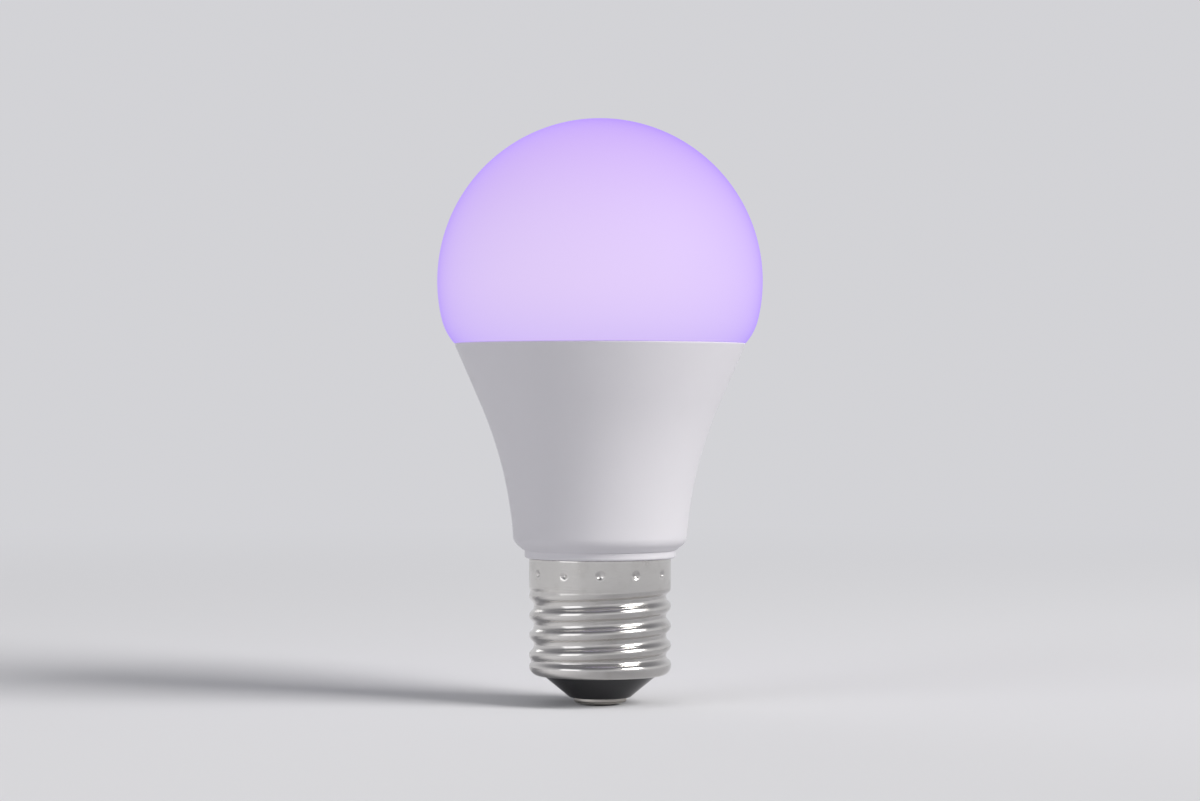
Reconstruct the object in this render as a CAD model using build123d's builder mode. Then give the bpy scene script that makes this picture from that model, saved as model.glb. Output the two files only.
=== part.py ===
from build123d import *
import math
import os

# A 60 mm colour LED lamp with a 27 mm round-thread screw cap, in millimetres.
# Z = 0 is the end of the centre contact, and the globe is at the top.

# Globe
overall_length = 108.0
globe_radius = 30.0
globe_wall = 1.5
globe_turn_drop = 7.0
globe_flange = 1.5
skirt_wall = 1.3
skirt_clearance = 0.1
skirt_end_gap = 0.1
edge_break = 0.2

# Snap ridge of the globe, and the glue groove in the housing's rim
snap_drop = 2.6
snap_reach = 0.4
snap_root = 0.2
glue_groove_inset = 1.7
glue_groove_width = 1.2
glue_groove_depth = 0.8
glue_clearance = 0.05

# Housing: rim below the globe's centre, flare, foot and collar
rim_drop = 11.4
rim_inset = 3.1
flare_lean = 6.85
flare_height = 11.0
foot_bevel_height = 1.5
foot_bevel_width = 1.75
foot_ledge = 0.3
foot_round = 2.4
housing_wall = 1.6
housing_floor = 1.5
mouth_wall = 3.1
mouth_depth = 4.0
collar_step = 0.8
collar_height = 1.5
collar_chamfer = 0.4

# Neck that carries the cap
neck_depth = 13.0
neck_wall = 1.2
neck_clearance = 0.1
rail_reach = 2.2
rail_width = 1.2
rail_rise = 1.0
lead_groove_width = 1.3
lead_groove_depth = 0.85
lead_groove_length = 6.0

# Screw cap
cap_height = 27.0
cap_skirt_height = 5.4
shell_sheet = 0.3
thread_major_radius = 13.1
thread_depth = 0.9
thread_pitch = 3.629
thread_flat = 0.8
thread_turns = 4
shell_bend = 1.7
shell_lip_width = 0.8
lip_clearance = 0.1

# Cap insulator and centre contact
insulator_crown = 0.6
insulator_nose_margin = 0.7
insulator_flange_inset = 1.0
contact_radius = 4.9
contact_flat_radius = 3.0
contact_edge_height = 0.7
contact_thickness = 1.3
contact_stem_radius = 1.5
contact_stem_rise = 1.0
contact_bore_depth = 2.0
stem_clearance = 0.1

# Heat sink and light board
cup_sheet = 0.9
cup_clearance = 0.15
cup_drop = 0.2
cup_height = 18.0
pad_thickness = 0.3
pad_inset = 0.5
led_board_clearance = 0.4
led_board_thickness = 1.2
screw_inset = 4.5
screw_count = 3
screw_angle = 15.0
screw_shank_radius = 1.1
screw_length = 4.8
screw_head_radius = 2.0
screw_head_height = 1.4
screw_recess_depth = 0.8
screw_recess_width = 0.6
screw_clearance = 0.15

# Light emitters
white_led_count = 12
white_led_inset = 4.5
white_led_length = 3.5
white_led_width = 2.8
white_led_height = 0.8
colour_led_count = 6
colour_led_inset = 11.0
colour_led_side = 3.5
colour_led_height = 1.0
led_lens_depth = 0.2
led_frame_width = 0.4

# Driver board, standing in the XZ plane
driver_thickness = 1.2
driver_tail_margin = 0.4
driver_tail_rise = 0.6
driver_half_width = 13.0
driver_top_gap = 4.5
driver_corner = 1.5
driver_seat_gap = 0.1
rail_slot_clearance = 0.1
mount_gap = 0.2

# Pins and connector between the two boards
pin_count = 4
pin_pitch = 2.54
pin_side = 0.64
pin_foot_length = 4.0
pin_top_length = 0.5
pin_clearance = 0.1
connector_length = 11.0
connector_width = 3.4
connector_height = 2.8
pin_slot_margin = 0.5

# Transformer
transformer_x = -5.2
transformer_rise = 0.6
core_width = 10.0
core_height = 11.0
core_depth = 5.0
core_leg = 1.4
core_centre_leg = 2.4
core_yoke = 2.0
bobbin_wall = 0.6
bobbin_clearance = 0.1
bobbin_flange = 0.7
bobbin_depth = 8.0
winding_gap = 0.05
winding_inset = 0.3

# Capacitors
capacitor_radius = 4.0
capacitor_edge = 0.5
capacitor_crimp_height = 1.6
capacitor_crimp_depth = 0.3
capacitor_crimp_width = 0.6
capacitor_lead_side = 0.6
capacitor_lead_spacing = 3.5
capacitor_lead_reach = 1.2
input_capacitor_x = 0.0
input_capacitor_rise = 2.4
input_capacitor_length = 11.0
output_capacitor_gap = 0.3
output_capacitor_length = 8.5

# Filter coil
coil_x = 8.4
coil_rise = 0.3
coil_radius = 3.6
coil_core_radius = 1.6
coil_height = 7.0
coil_flange = 1.0
coil_winding_inset = 0.4

# Small parts on the back of the driver board
varistor_margin = 5.9
varistor_drop = 1.6
varistor_radius = 3.5
varistor_thickness = 2.6
varistor_chamfer = 0.8
fuse_x = 4.5
fuse_rise = 1.6
fuse_radius = 1.4
fuse_length = 7.0
fuse_cap_length = 1.4
fuse_cap_inset = 0.15
bridge_x = -3.5
bridge_drop = 3.0
bridge_length = 4.7
bridge_width = 3.8
bridge_height = 2.4
chip_x = 0.0
chip_rise = 3.2
chip_length = 4.9
chip_width = 3.9
chip_height = 1.5
chip_leg_count = 4
chip_leg_pitch = 1.27
leg_width = 0.42
leg_thickness = 0.25
leg_reach = 1.0
diode_x = 8.8
diode_rise = 8.0
diode_length = 4.3
diode_width = 2.6
diode_height = 2.1
package_chamfer = 0.25

# Wireless module, standing behind the driver board
module_gap = 3.0
module_thickness = 0.8
module_half_width = 6.0
module_length = 12.0
module_top_gap = 1.5
aerial_reach = 6.6
aerial_half_width = 4.0
module_slot_clearance = 0.3
shield_width = 9.0
shield_length = 8.0
shield_height = 1.9
shield_sheet = 0.2
shield_rise = 2.6
header_length = 11.0
header_height = 2.4
header_rise = 0.8

# Leads
lead_radius = 0.4
lead_sides = 6
lead_bend = 1.4
lead_clearance = 0.1
live_run_drop = 2.6
neutral_margin = 3.2
neutral_start_rise = 3.9
neutral_run_drop = 2.4
neutral_end_gap = 1.0

# Places that follow from the sizes above, from the globe down to the contact
globe_centre_height = overall_length - globe_radius
rim_height = globe_centre_height - rim_drop
rim_radius = globe_radius - rim_inset
mouth_radius = rim_radius - mouth_wall
mouth_floor_height = rim_height - mouth_depth
skirt_radius = mouth_radius - skirt_clearance
glue_groove_radius = rim_radius - glue_groove_inset
foot_edge_height = cap_height + collar_height
foot_height = foot_edge_height + foot_bevel_height
collar_radius = thread_major_radius + collar_step
foot_edge_radius = collar_radius + foot_ledge
foot_radius = foot_edge_radius + foot_bevel_width
floor_height = foot_edge_height + housing_floor
neck_end_height = cap_height - neck_depth
rail_end_height = neck_end_height + rail_rise
lead_groove_top = neck_end_height + lead_groove_length
thread_minor_radius = thread_major_radius - thread_depth
thread_slope = thread_pitch / 2 - thread_flat
thread_top_height = cap_height - cap_skirt_height
bend_height = thread_top_height - thread_turns * thread_pitch
shell_end_height = bend_height - shell_bend
shell_lip_radius = thread_major_radius - shell_bend - shell_lip_width
neck_upper_radius = thread_major_radius - shell_sheet - neck_clearance
neck_lower_radius = thread_minor_radius - shell_sheet - neck_clearance
neck_bore_radius = neck_lower_radius - neck_wall
insulator_top_height = bend_height + insulator_crown
contact_stem_height = insulator_top_height + contact_stem_rise

# Places inside: the light board from the rim, the driver's parts from the housing's floor
cup_top_height = mouth_floor_height - cup_drop
cup_end_height = cup_top_height - cup_height
led_board_radius = skirt_radius - skirt_wall - led_board_clearance
led_board_height = cup_top_height + pad_thickness
led_seat_height = led_board_height + led_board_thickness
driver_face = driver_thickness / 2
driver_tail_height = neck_end_height + driver_tail_rise
driver_top_height = cup_top_height - cup_sheet - driver_top_gap
pin_centre_y = driver_face + pin_side / 2
pin_foot_height = driver_top_height - pin_foot_length
pin_top_height = led_seat_height + connector_height + pin_top_length
module_face_y = -driver_face - module_gap
module_centre_y = module_face_y - module_thickness / 2
module_shoulder_height = cup_top_height - cup_sheet - module_top_gap
module_foot_height = module_shoulder_height - module_length
module_top_height = led_seat_height + aerial_reach
transformer_z = floor_height + transformer_rise + core_height / 2
coil_z = floor_height + coil_rise + coil_radius
output_capacitor_clearance = output_capacitor_gap + capacitor_lead_reach + capacitor_lead_side / 2
output_capacitor_z = coil_z + coil_radius + output_capacitor_clearance
input_capacitor_z = driver_tail_height + input_capacitor_rise
varistor_x = neck_bore_radius - varistor_margin
varistor_z = floor_height - varistor_drop
fuse_z = driver_tail_height + fuse_rise
bridge_z = floor_height - bridge_drop
chip_z = floor_height + chip_rise
diode_z = floor_height + diode_rise

# The flare of the housing is a straight cone, then an arc tangent to it that ends at the foot
flare_chord_angle = math.degrees(math.atan2(rim_radius - foot_radius, rim_height - foot_height))
flare_angle = flare_chord_angle + flare_lean
flare_turn_radius = rim_radius - flare_height * math.tan(math.radians(flare_angle))
flare_turn = Vector(flare_turn_radius, rim_height - flare_height)
flare_normal = Vector(math.cos(math.radians(flare_angle)), -math.sin(math.radians(flare_angle)))
flare_down = Vector(flare_normal.Y, -flare_normal.X)
flare_chord = Vector(foot_radius, foot_height) - flare_turn
flare_arc_radius = flare_chord.dot(flare_chord) / (2 * flare_chord.dot(flare_normal))
flare_centre = flare_turn + flare_normal * flare_arc_radius

# The globe is a sphere, then a smaller arc tangent to it that ends at the rim
globe_centre = Vector(0, globe_centre_height)
turn_sine = globe_turn_drop / globe_radius
turn_direction = Vector(math.sqrt(1 - turn_sine**2), -turn_sine)
turn_down = Vector(turn_direction.Y, -turn_direction.X)
rim_offset = Vector(rim_radius, rim_height) - globe_centre
shoulder_distance = (globe_radius**2 - rim_offset.dot(rim_offset)) / (
    2 * (globe_radius - rim_offset.dot(turn_direction))
)
shoulder_centre = globe_centre + turn_direction * shoulder_distance
shoulder_radius = globe_radius - shoulder_distance


def flare_radius(inset, height):
    """Radius of the flare at a height, measured on the face that lies inset under the outer one."""
    turn = flare_turn - flare_normal * inset
    if height >= turn.Y:
        return turn.X + (height - turn.Y) * math.tan(math.radians(flare_angle))
    return flare_centre.X - math.sqrt((flare_arc_radius + inset) ** 2 - (height - flare_centre.Y) ** 2)


def draw_flare(inset, high, low):
    """Draws the flare's profile between two heights on the face that lies inset under the outer one."""
    turn = flare_turn - flare_normal * inset
    Line((flare_radius(inset, high), high), (turn.X, turn.Y))
    TangentArc((turn.X, turn.Y), (flare_radius(inset, low), low), tangent=(flare_down.X, flare_down.Y))


def draw_globe(inset, low):
    """Draws the globe's profile from its top to a height, on the face inset under the outer one."""
    radius = globe_radius - inset
    turn = globe_centre + turn_direction * radius
    arc_radius = shoulder_radius - inset
    end_x = shoulder_centre.X + math.sqrt(arc_radius**2 - (low - shoulder_centre.Y) ** 2)
    middle = globe_centre + Vector(1, 1).normalized() * radius
    ThreePointArc((0, globe_centre_height + radius), (middle.X, middle.Y), (turn.X, turn.Y))
    TangentArc((turn.X, turn.Y), (end_x, low), tangent=(turn_down.X, turn_down.Y))
    return end_x


def draw_shell(inset):
    """Draws the cap's profile: skirt, thread in section as flats and slopes, and the bend to the lip."""
    major = thread_major_radius - inset
    minor = thread_minor_radius - inset
    points = [(major, cap_height)]
    for turn in range(thread_turns):
        slope_start = thread_top_height - turn * thread_pitch
        root_start = slope_start - thread_slope
        root_end = root_start - thread_flat
        slope_end = root_end - thread_slope
        points += [(major, slope_start), (minor, root_start), (minor, root_end), (major, slope_end)]
    bend = shell_bend - inset
    Polyline(
        *points,
        (major, bend_height),
        (major - bend, bend_height - bend),
        (shell_lip_radius, bend_height - bend),
        (shell_lip_radius, shell_end_height + shell_sheet / 2),
    )


def draw_snap(radius, reach):
    """Draws the V of the snap ridge, standing out by reach from a wall of the given radius."""
    height = rim_height - snap_drop
    Polygon(
        (radius - snap_root, height - reach - snap_root),
        (radius + reach, height),
        (radius - snap_root, height + reach + snap_root),
        align=None,
    )


def save(piece, name):
    """Names a finished piece and writes it to its own file."""
    piece.part.label = name
    export_step(piece.part, f"parts/{name}.step")


os.makedirs("parts", exist_ok=True)

# Globe, a blown opal cover with a flange and a short skirt
with BuildPart() as globe:
    with BuildSketch(Plane.XZ) as globe_profile:
        with BuildLine() as globe_outline:
            outer_end = draw_globe(0, rim_height)
            inner_end = draw_globe(globe_wall, rim_height + globe_flange)
            skirt_end = mouth_floor_height + skirt_end_gap
            Polyline(
                (outer_end, rim_height),
                (skirt_radius, rim_height),
                (skirt_radius, skirt_end),
                (skirt_radius - skirt_wall, skirt_end),
                (skirt_radius - skirt_wall, rim_height + globe_flange),
                (inner_end, rim_height + globe_flange),
            )
            Line((0, overall_length), (0, overall_length - globe_wall))
        make_face()
    revolve(axis=Axis.Z)
    with BuildSketch(Plane.XZ) as snap_profile:
        draw_snap(skirt_radius, snap_reach)
    revolve(axis=Axis.Z)
    rim_edges = globe.edges().filter_by(GeomType.CIRCLE).filter_by_position(
        Axis.Z, rim_height - edge_break, rim_height + edge_break
    )
    chamfer(rim_edges.sort_by(SortBy.RADIUS)[-1], length=edge_break)
save(globe, "globe")

# Housing, a moulded shell with the neck that carries the cap
with BuildPart() as housing:
    with BuildSketch(Plane.XZ) as housing_profile:
        with BuildLine() as housing_outline:
            draw_flare(0, rim_height, foot_height)
            draw_flare(housing_wall, mouth_floor_height, floor_height)
            Polyline(
                (foot_radius, foot_height),
                (foot_edge_radius, foot_edge_height),
                (collar_radius, foot_edge_height),
                (collar_radius, cap_height),
                (neck_upper_radius, cap_height),
                (neck_upper_radius, thread_top_height),
                (neck_lower_radius, thread_top_height - thread_slope),
                (neck_lower_radius, neck_end_height),
                (neck_bore_radius, neck_end_height),
                (neck_bore_radius, floor_height),
                (flare_radius(housing_wall, floor_height), floor_height),
            )
            Polyline(
                (flare_radius(housing_wall, mouth_floor_height), mouth_floor_height),
                (mouth_radius, mouth_floor_height),
                (mouth_radius, rim_height),
                (rim_radius, rim_height),
            )
        make_face()
    revolve(axis=Axis.Z)
    foot_edges = housing.edges().filter_by(GeomType.CIRCLE).filter_by_position(
        Axis.Z, foot_height - 0.01, foot_height + 0.01
    )
    fillet(foot_edges.sort_by(SortBy.RADIUS)[-1], radius=foot_round)
    collar_edges = housing.edges().filter_by(GeomType.CIRCLE).filter_by_position(
        Axis.Z, cap_height - 0.01, cap_height + 0.01
    )
    chamfer(collar_edges.sort_by(SortBy.RADIUS)[-1], length=collar_chamfer)
    rim_circles = housing.edges().filter_by(GeomType.CIRCLE).group_by(Axis.Z)[-1]
    chamfer(rim_circles.sort_by(SortBy.RADIUS)[-1], length=edge_break)
    with BuildSketch(Plane.XZ) as snap_groove:
        draw_snap(mouth_radius, snap_reach)
    revolve(axis=Axis.Z, mode=Mode.SUBTRACT)
    with BuildSketch(Plane.XY.offset(rim_height)) as glue_groove:
        Circle(glue_groove_radius + glue_groove_width / 2)
        Circle(glue_groove_radius - glue_groove_width / 2, mode=Mode.SUBTRACT)
    extrude(amount=-glue_groove_depth, mode=Mode.SUBTRACT)
    # Two pairs of rails hold the driver board's edges in the neck
    rail_y = driver_face + rail_slot_clearance + rail_width / 2
    rail_root = (neck_bore_radius + neck_lower_radius) / 2
    with BuildSketch(Plane.XY.offset(rail_end_height)) as rails:
        with GridLocations(2 * rail_root - rail_reach, 2 * rail_y, 2, 2):
            Rectangle(rail_reach, rail_width)
    extrude(amount=floor_height - rail_end_height)
    # A groove outside the neck takes the neutral lead up beside the cap
    with BuildSketch(Plane.XY.offset(neck_end_height)) as lead_groove:
        with Locations((-neck_lower_radius, 0)):
            Rectangle(2 * lead_groove_depth, lead_groove_width)
    extrude(amount=lead_groove_top - neck_end_height, mode=Mode.SUBTRACT)
save(housing, "housing")

# Silicone bead that bonds the globe to the housing
with BuildPart() as globe_seal:
    with BuildSketch(Plane.XY.offset(rim_height - glue_clearance)) as bead:
        Circle(glue_groove_radius + glue_groove_width / 2 - glue_clearance)
        Circle(glue_groove_radius - glue_groove_width / 2 + glue_clearance, mode=Mode.SUBTRACT)
    extrude(amount=-(glue_groove_depth - 2 * glue_clearance))
save(globe_seal, "globe_seal")

# Screw shell, rolled from sheet with a round thread
with BuildPart() as screw_shell:
    with BuildSketch(Plane.XZ) as shell_profile:
        with BuildLine() as shell_outline:
            draw_shell(0)
            draw_shell(shell_sheet)
            Line((thread_major_radius, cap_height), (thread_major_radius - shell_sheet, cap_height))
        make_face()
    revolve(axis=Axis.Z)
save(screw_shell, "screw_shell")

# Cap insulator, a plug with a flange inside the lip of the shell
insulator_radius = shell_lip_radius - lip_clearance
flange_radius = thread_major_radius - shell_bend - lip_clearance
with BuildPart() as cap_insulator:
    with BuildSketch(Plane.XZ) as insulator_profile:
        with BuildLine() as insulator_outline:
            Polyline(
                (contact_stem_radius + stem_clearance, contact_thickness),
                (contact_radius + insulator_nose_margin, contact_thickness),
                (insulator_radius, shell_end_height),
                (insulator_radius, shell_end_height + shell_sheet),
                (flange_radius, shell_end_height + shell_sheet),
                (flange_radius, bend_height),
                (flange_radius - insulator_flange_inset, insulator_top_height),
                (contact_stem_radius + stem_clearance, insulator_top_height),
                (contact_stem_radius + stem_clearance, contact_thickness),
            )
        make_face()
    revolve(axis=Axis.Z)
save(cap_insulator, "cap_insulator")

# Centre contact, a riveted button with a hollow stem
with BuildPart() as centre_contact:
    with BuildSketch(Plane.XZ) as contact_profile:
        with BuildLine() as contact_outline:
            Polyline(
                (0, 0),
                (contact_flat_radius, 0),
                (contact_radius, contact_edge_height),
                (contact_radius, contact_thickness),
                (contact_stem_radius, contact_thickness),
                (contact_stem_radius, contact_stem_height),
                (lead_radius + lead_clearance, contact_stem_height),
                (lead_radius + lead_clearance, contact_stem_height - contact_bore_depth),
                (0, contact_stem_height - contact_bore_depth),
                close=True,
            )
        make_face()
    revolve(axis=Axis.Z)
save(centre_contact, "centre_contact")

# Openings that the light board, its pad and the heat sink share
screw_places = PolarLocations(led_board_radius - screw_inset, screw_count, start_angle=screw_angle)
pin_slot_length = (pin_count - 1) * pin_pitch + pin_side + 2 * pin_slot_margin
pin_slot_width = pin_side + 2 * pin_slot_margin
module_slot_length = 2 * (aerial_half_width + module_slot_clearance)
module_slot_width = module_thickness + 2 * module_slot_clearance


def cut_board_openings():
    """Cuts the screw holes and the two slots out of the sketch that is being drawn."""
    with screw_places:
        Circle(screw_shank_radius + screw_clearance, mode=Mode.SUBTRACT)
    with Locations((0, pin_centre_y)):
        Rectangle(pin_slot_length, pin_slot_width, mode=Mode.SUBTRACT)
    with Locations((0, module_centre_y)):
        Rectangle(module_slot_length, module_slot_width, mode=Mode.SUBTRACT)


# Heat sink cup, drawn from aluminium sheet and set in the flare
cup_inset = housing_wall + cup_clearance
with BuildPart() as heat_sink_cup:
    with BuildSketch(Plane.XZ) as cup_profile:
        with BuildLine() as cup_outline:
            under_top = cup_top_height - cup_sheet
            draw_flare(cup_inset, cup_top_height, cup_end_height)
            draw_flare(cup_inset + cup_sheet, under_top, cup_end_height)
            Line(
                (flare_radius(cup_inset, cup_end_height), cup_end_height),
                (flare_radius(cup_inset + cup_sheet, cup_end_height), cup_end_height),
            )
            Polyline(
                (flare_radius(cup_inset + cup_sheet, under_top), under_top),
                (0, under_top),
                (0, cup_top_height),
                (flare_radius(cup_inset, cup_top_height), cup_top_height),
            )
        make_face()
    revolve(axis=Axis.Z)
    with BuildSketch(Plane.XY.offset(under_top)) as cup_openings:
        with screw_places:
            Circle(screw_shank_radius + screw_clearance)
        with Locations((0, pin_centre_y)):
            Rectangle(pin_slot_length, pin_slot_width)
        with Locations((0, module_centre_y)):
            Rectangle(module_slot_length, module_slot_width)
    extrude(amount=cup_sheet, mode=Mode.SUBTRACT)
save(heat_sink_cup, "heat_sink_cup")

# Thermal pad under the light board
with BuildPart() as thermal_pad:
    with BuildSketch(Plane.XY.offset(cup_top_height)) as pad_outline:
        Circle(led_board_radius - pad_inset)
        cut_board_openings()
    extrude(amount=pad_thickness)
save(thermal_pad, "thermal_pad")

# Light board, an aluminium disc
with BuildPart() as led_board:
    with BuildSketch(Plane.XY.offset(led_board_height)) as led_board_outline:
        Circle(led_board_radius)
        cut_board_openings()
    extrude(amount=led_board_thickness)
save(led_board, "led_board")

# Board screws, with a cross recess in each head
with BuildPart() as board_screws:
    with BuildSketch(Plane.XY.offset(led_seat_height)) as screw_heads:
        with screw_places:
            Circle(screw_head_radius)
    extrude(amount=screw_head_height)
    with BuildSketch(Plane.XY.offset(led_seat_height)) as screw_shanks:
        with screw_places:
            Circle(screw_shank_radius)
    extrude(amount=-screw_length)
    with BuildSketch(Plane.XY.offset(led_seat_height + screw_head_height)) as screw_recesses:
        with screw_places:
            Rectangle(2 * screw_shank_radius, screw_recess_width)
            Rectangle(screw_recess_width, 2 * screw_shank_radius)
    extrude(amount=-screw_recess_depth, mode=Mode.SUBTRACT)
save(board_screws, "board_screws")


def make_led(name, circle, angle, length, width, height):
    """Makes one light emitter on the board: a box with a shallow window in its top."""
    radians = math.radians(angle)
    seat = Plane(
        origin=(circle * math.cos(radians), circle * math.sin(radians), led_seat_height),
        x_dir=(-math.sin(radians), math.cos(radians), 0),
        z_dir=(0, 0, 1),
    )
    with BuildPart(seat) as led:
        Box(length, width, height, align=(Align.CENTER, Align.CENTER, Align.MIN))
        with BuildSketch(seat.offset(height)) as window:
            Rectangle(length - 2 * led_frame_width, width - 2 * led_frame_width)
        extrude(amount=-led_lens_depth, mode=Mode.SUBTRACT)
    save(led, name)


# White and colour emitters on two circles
for number in range(white_led_count):
    white_angle = number * 360 / white_led_count
    make_led(
        f"white_led_{number + 1}",
        led_board_radius - white_led_inset,
        white_angle,
        white_led_length,
        white_led_width,
        white_led_height,
    )
for number in range(colour_led_count):
    colour_angle = (number + 0.5) * 360 / colour_led_count
    make_led(
        f"colour_led_{number + 1}",
        led_board_radius - colour_led_inset,
        colour_angle,
        colour_led_side,
        colour_led_side,
        colour_led_height,
    )

# Driver board, with a narrow tail in the neck and shoulders on the housing's floor
driver_tail_half_width = neck_bore_radius - driver_tail_margin
driver_shoulder_height = floor_height + driver_seat_gap
with BuildPart() as driver_board:
    with BuildSketch(Plane.XZ.offset(-driver_face)) as driver_outline:
        with BuildLine() as driver_edge:
            Polyline(
                (-driver_tail_half_width, driver_tail_height),
                (driver_tail_half_width, driver_tail_height),
                (driver_tail_half_width, driver_shoulder_height),
                (driver_half_width, driver_shoulder_height),
                (driver_half_width, driver_top_height),
                (-driver_half_width, driver_top_height),
                (-driver_half_width, driver_shoulder_height),
                (-driver_tail_half_width, driver_shoulder_height),
                close=True,
            )
        make_face()
        fillet(driver_outline.vertices().group_by(Axis.Y)[-1], radius=driver_corner)
    extrude(amount=driver_thickness)
save(driver_board, "driver_board")

# Pins from the driver board up to the light board, and the block that they pass through
pin_row = GridLocations(pin_pitch, 1, pin_count, 1)
with BuildPart() as connector_pins:
    with BuildSketch(Plane((0, pin_centre_y, pin_foot_height))) as pin_section:
        with pin_row:
            Rectangle(pin_side, pin_side)
    extrude(amount=pin_top_height - pin_foot_height)
save(connector_pins, "connector_pins")

with BuildPart() as connector_block:
    with BuildSketch(Plane((0, pin_centre_y, led_seat_height))) as block_section:
        Rectangle(connector_length, connector_width)
        with pin_row:
            Rectangle(pin_side + 2 * pin_clearance, pin_side + 2 * pin_clearance, mode=Mode.SUBTRACT)
    extrude(amount=connector_height)
save(connector_block, "connector_block")

# Transformer: ferrite core, bobbin and winding
bobbin_centre_y = driver_face + mount_gap + bobbin_depth / 2
transformer_centre = (transformer_x, bobbin_centre_y, transformer_z)
transformer_plane = Plane(origin=transformer_centre, x_dir=(1, 0, 0), z_dir=(0, -1, 0))
core_window_width = (core_width - 2 * core_leg - core_centre_leg) / 2
core_window_height = core_height - 2 * core_yoke
with BuildPart() as transformer_core:
    with BuildSketch(transformer_plane) as core_section:
        Rectangle(core_width, core_height)
        with GridLocations(core_centre_leg + core_window_width, 1, 2, 1):
            Rectangle(core_window_width, core_window_height, mode=Mode.SUBTRACT)
    extrude(amount=core_depth / 2, both=True)
save(transformer_core, "transformer_core")

transformer_level = Plane(origin=(transformer_x, bobbin_centre_y, transformer_z))
bobbin_bore_x = core_centre_leg + 2 * bobbin_clearance
bobbin_bore_y = core_depth + 2 * bobbin_clearance
bobbin_height = core_window_height - 2 * bobbin_clearance
bobbin_flange_x = core_centre_leg + 2 * core_window_width - 2 * bobbin_clearance
winding_height = bobbin_height - 2 * bobbin_flange - 2 * winding_gap
with BuildPart() as transformer_bobbin:
    with BuildSketch(transformer_level.offset(-bobbin_height / 2)) as bobbin_tube:
        Rectangle(bobbin_bore_x + 2 * bobbin_wall, bobbin_bore_y + 2 * bobbin_wall)
    extrude(amount=bobbin_height)
    for flange_base in (-bobbin_height / 2, bobbin_height / 2 - bobbin_flange):
        with BuildSketch(transformer_level.offset(flange_base)) as bobbin_end:
            Rectangle(bobbin_flange_x, bobbin_depth)
        extrude(amount=bobbin_flange)
    with BuildSketch(transformer_level.offset(-bobbin_height / 2)) as bobbin_bore:
        Rectangle(bobbin_bore_x, bobbin_bore_y)
    extrude(amount=bobbin_height, mode=Mode.SUBTRACT)
save(transformer_bobbin, "transformer_bobbin")

with BuildPart() as transformer_winding:
    with BuildSketch(transformer_level.offset(-winding_height / 2)) as winding_section:
        Rectangle(bobbin_flange_x - 2 * winding_inset, bobbin_depth - 2 * winding_inset)
        Rectangle(
            bobbin_bore_x + 2 * bobbin_wall + 2 * winding_gap,
            bobbin_bore_y + 2 * bobbin_wall + 2 * winding_gap,
            mode=Mode.SUBTRACT,
        )
    extrude(amount=winding_height)
save(transformer_winding, "transformer_winding")


def make_capacitor(name, x, base, length):
    """Makes a can capacitor that lies along the driver board, with both leads bent to the board."""
    y = driver_face + mount_gap + capacitor_radius
    crimp = capacitor_crimp_height
    run_height = base - capacitor_lead_reach
    with BuildPart() as capacitor:
        with BuildSketch(Plane(origin=(x, y, base), x_dir=(1, 0, 0), z_dir=(0, -1, 0))) as can_profile:
            with BuildLine() as can_outline:
                Polyline(
                    (0, 0),
                    (capacitor_radius, 0),
                    (capacitor_radius, crimp - capacitor_crimp_width / 2),
                    (capacitor_radius - capacitor_crimp_depth, crimp - capacitor_crimp_width / 2),
                    (capacitor_radius - capacitor_crimp_depth, crimp + capacitor_crimp_width / 2),
                    (capacitor_radius, crimp + capacitor_crimp_width / 2),
                    (capacitor_radius, length - capacitor_edge),
                    (capacitor_radius - capacitor_edge, length),
                    (0, length),
                    close=True,
                )
            make_face()
        revolve(axis=Axis(origin=(x, y, base), direction=(0, 0, 1)))
        for lead_x in (x - capacitor_lead_spacing / 2, x + capacitor_lead_spacing / 2):
            with BuildSketch(Plane.YZ.offset(lead_x - capacitor_lead_side / 2)) as lead_bend:
                with BuildLine() as lead_route:
                    Polyline((y, base), (y, run_height), (driver_face, run_height))
                trace(line_width=capacitor_lead_side)
            extrude(amount=capacitor_lead_side)
    save(capacitor, name)


make_capacitor("input_capacitor", input_capacitor_x, input_capacitor_z, input_capacitor_length)
make_capacitor("output_capacitor", coil_x, output_capacitor_z, output_capacitor_length)

# Filter coil: a drum core with a winding, its axis square to the board
coil_plane = Plane(origin=(coil_x, driver_face + mount_gap, coil_z), z_dir=(0, 1, 0))
with BuildPart() as coil_core:
    with BuildSketch(coil_plane) as coil_middle:
        Circle(coil_core_radius)
    extrude(amount=coil_height)
    for flange_base in (0, coil_height - coil_flange):
        with BuildSketch(coil_plane.offset(flange_base)) as coil_end:
            Circle(coil_radius)
        extrude(amount=coil_flange)
save(coil_core, "coil_core")

with BuildPart() as coil_winding:
    with BuildSketch(coil_plane.offset(coil_flange + winding_gap)) as coil_section:
        Circle(coil_radius - coil_winding_inset)
        Circle(coil_core_radius + winding_gap, mode=Mode.SUBTRACT)
    extrude(amount=coil_height - 2 * coil_flange - 2 * winding_gap)
save(coil_winding, "coil_winding")

# Varistor, a coated disc beside the board's back
with BuildPart() as varistor:
    with BuildSketch(Plane.XZ.offset(driver_face + mount_gap)) as varistor_disc:
        with Locations((varistor_x, varistor_z)):
            Circle(varistor_radius)
    extrude(amount=varistor_thickness)
    chamfer(varistor.edges().filter_by(GeomType.CIRCLE), length=varistor_chamfer)
save(varistor, "varistor")

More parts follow.
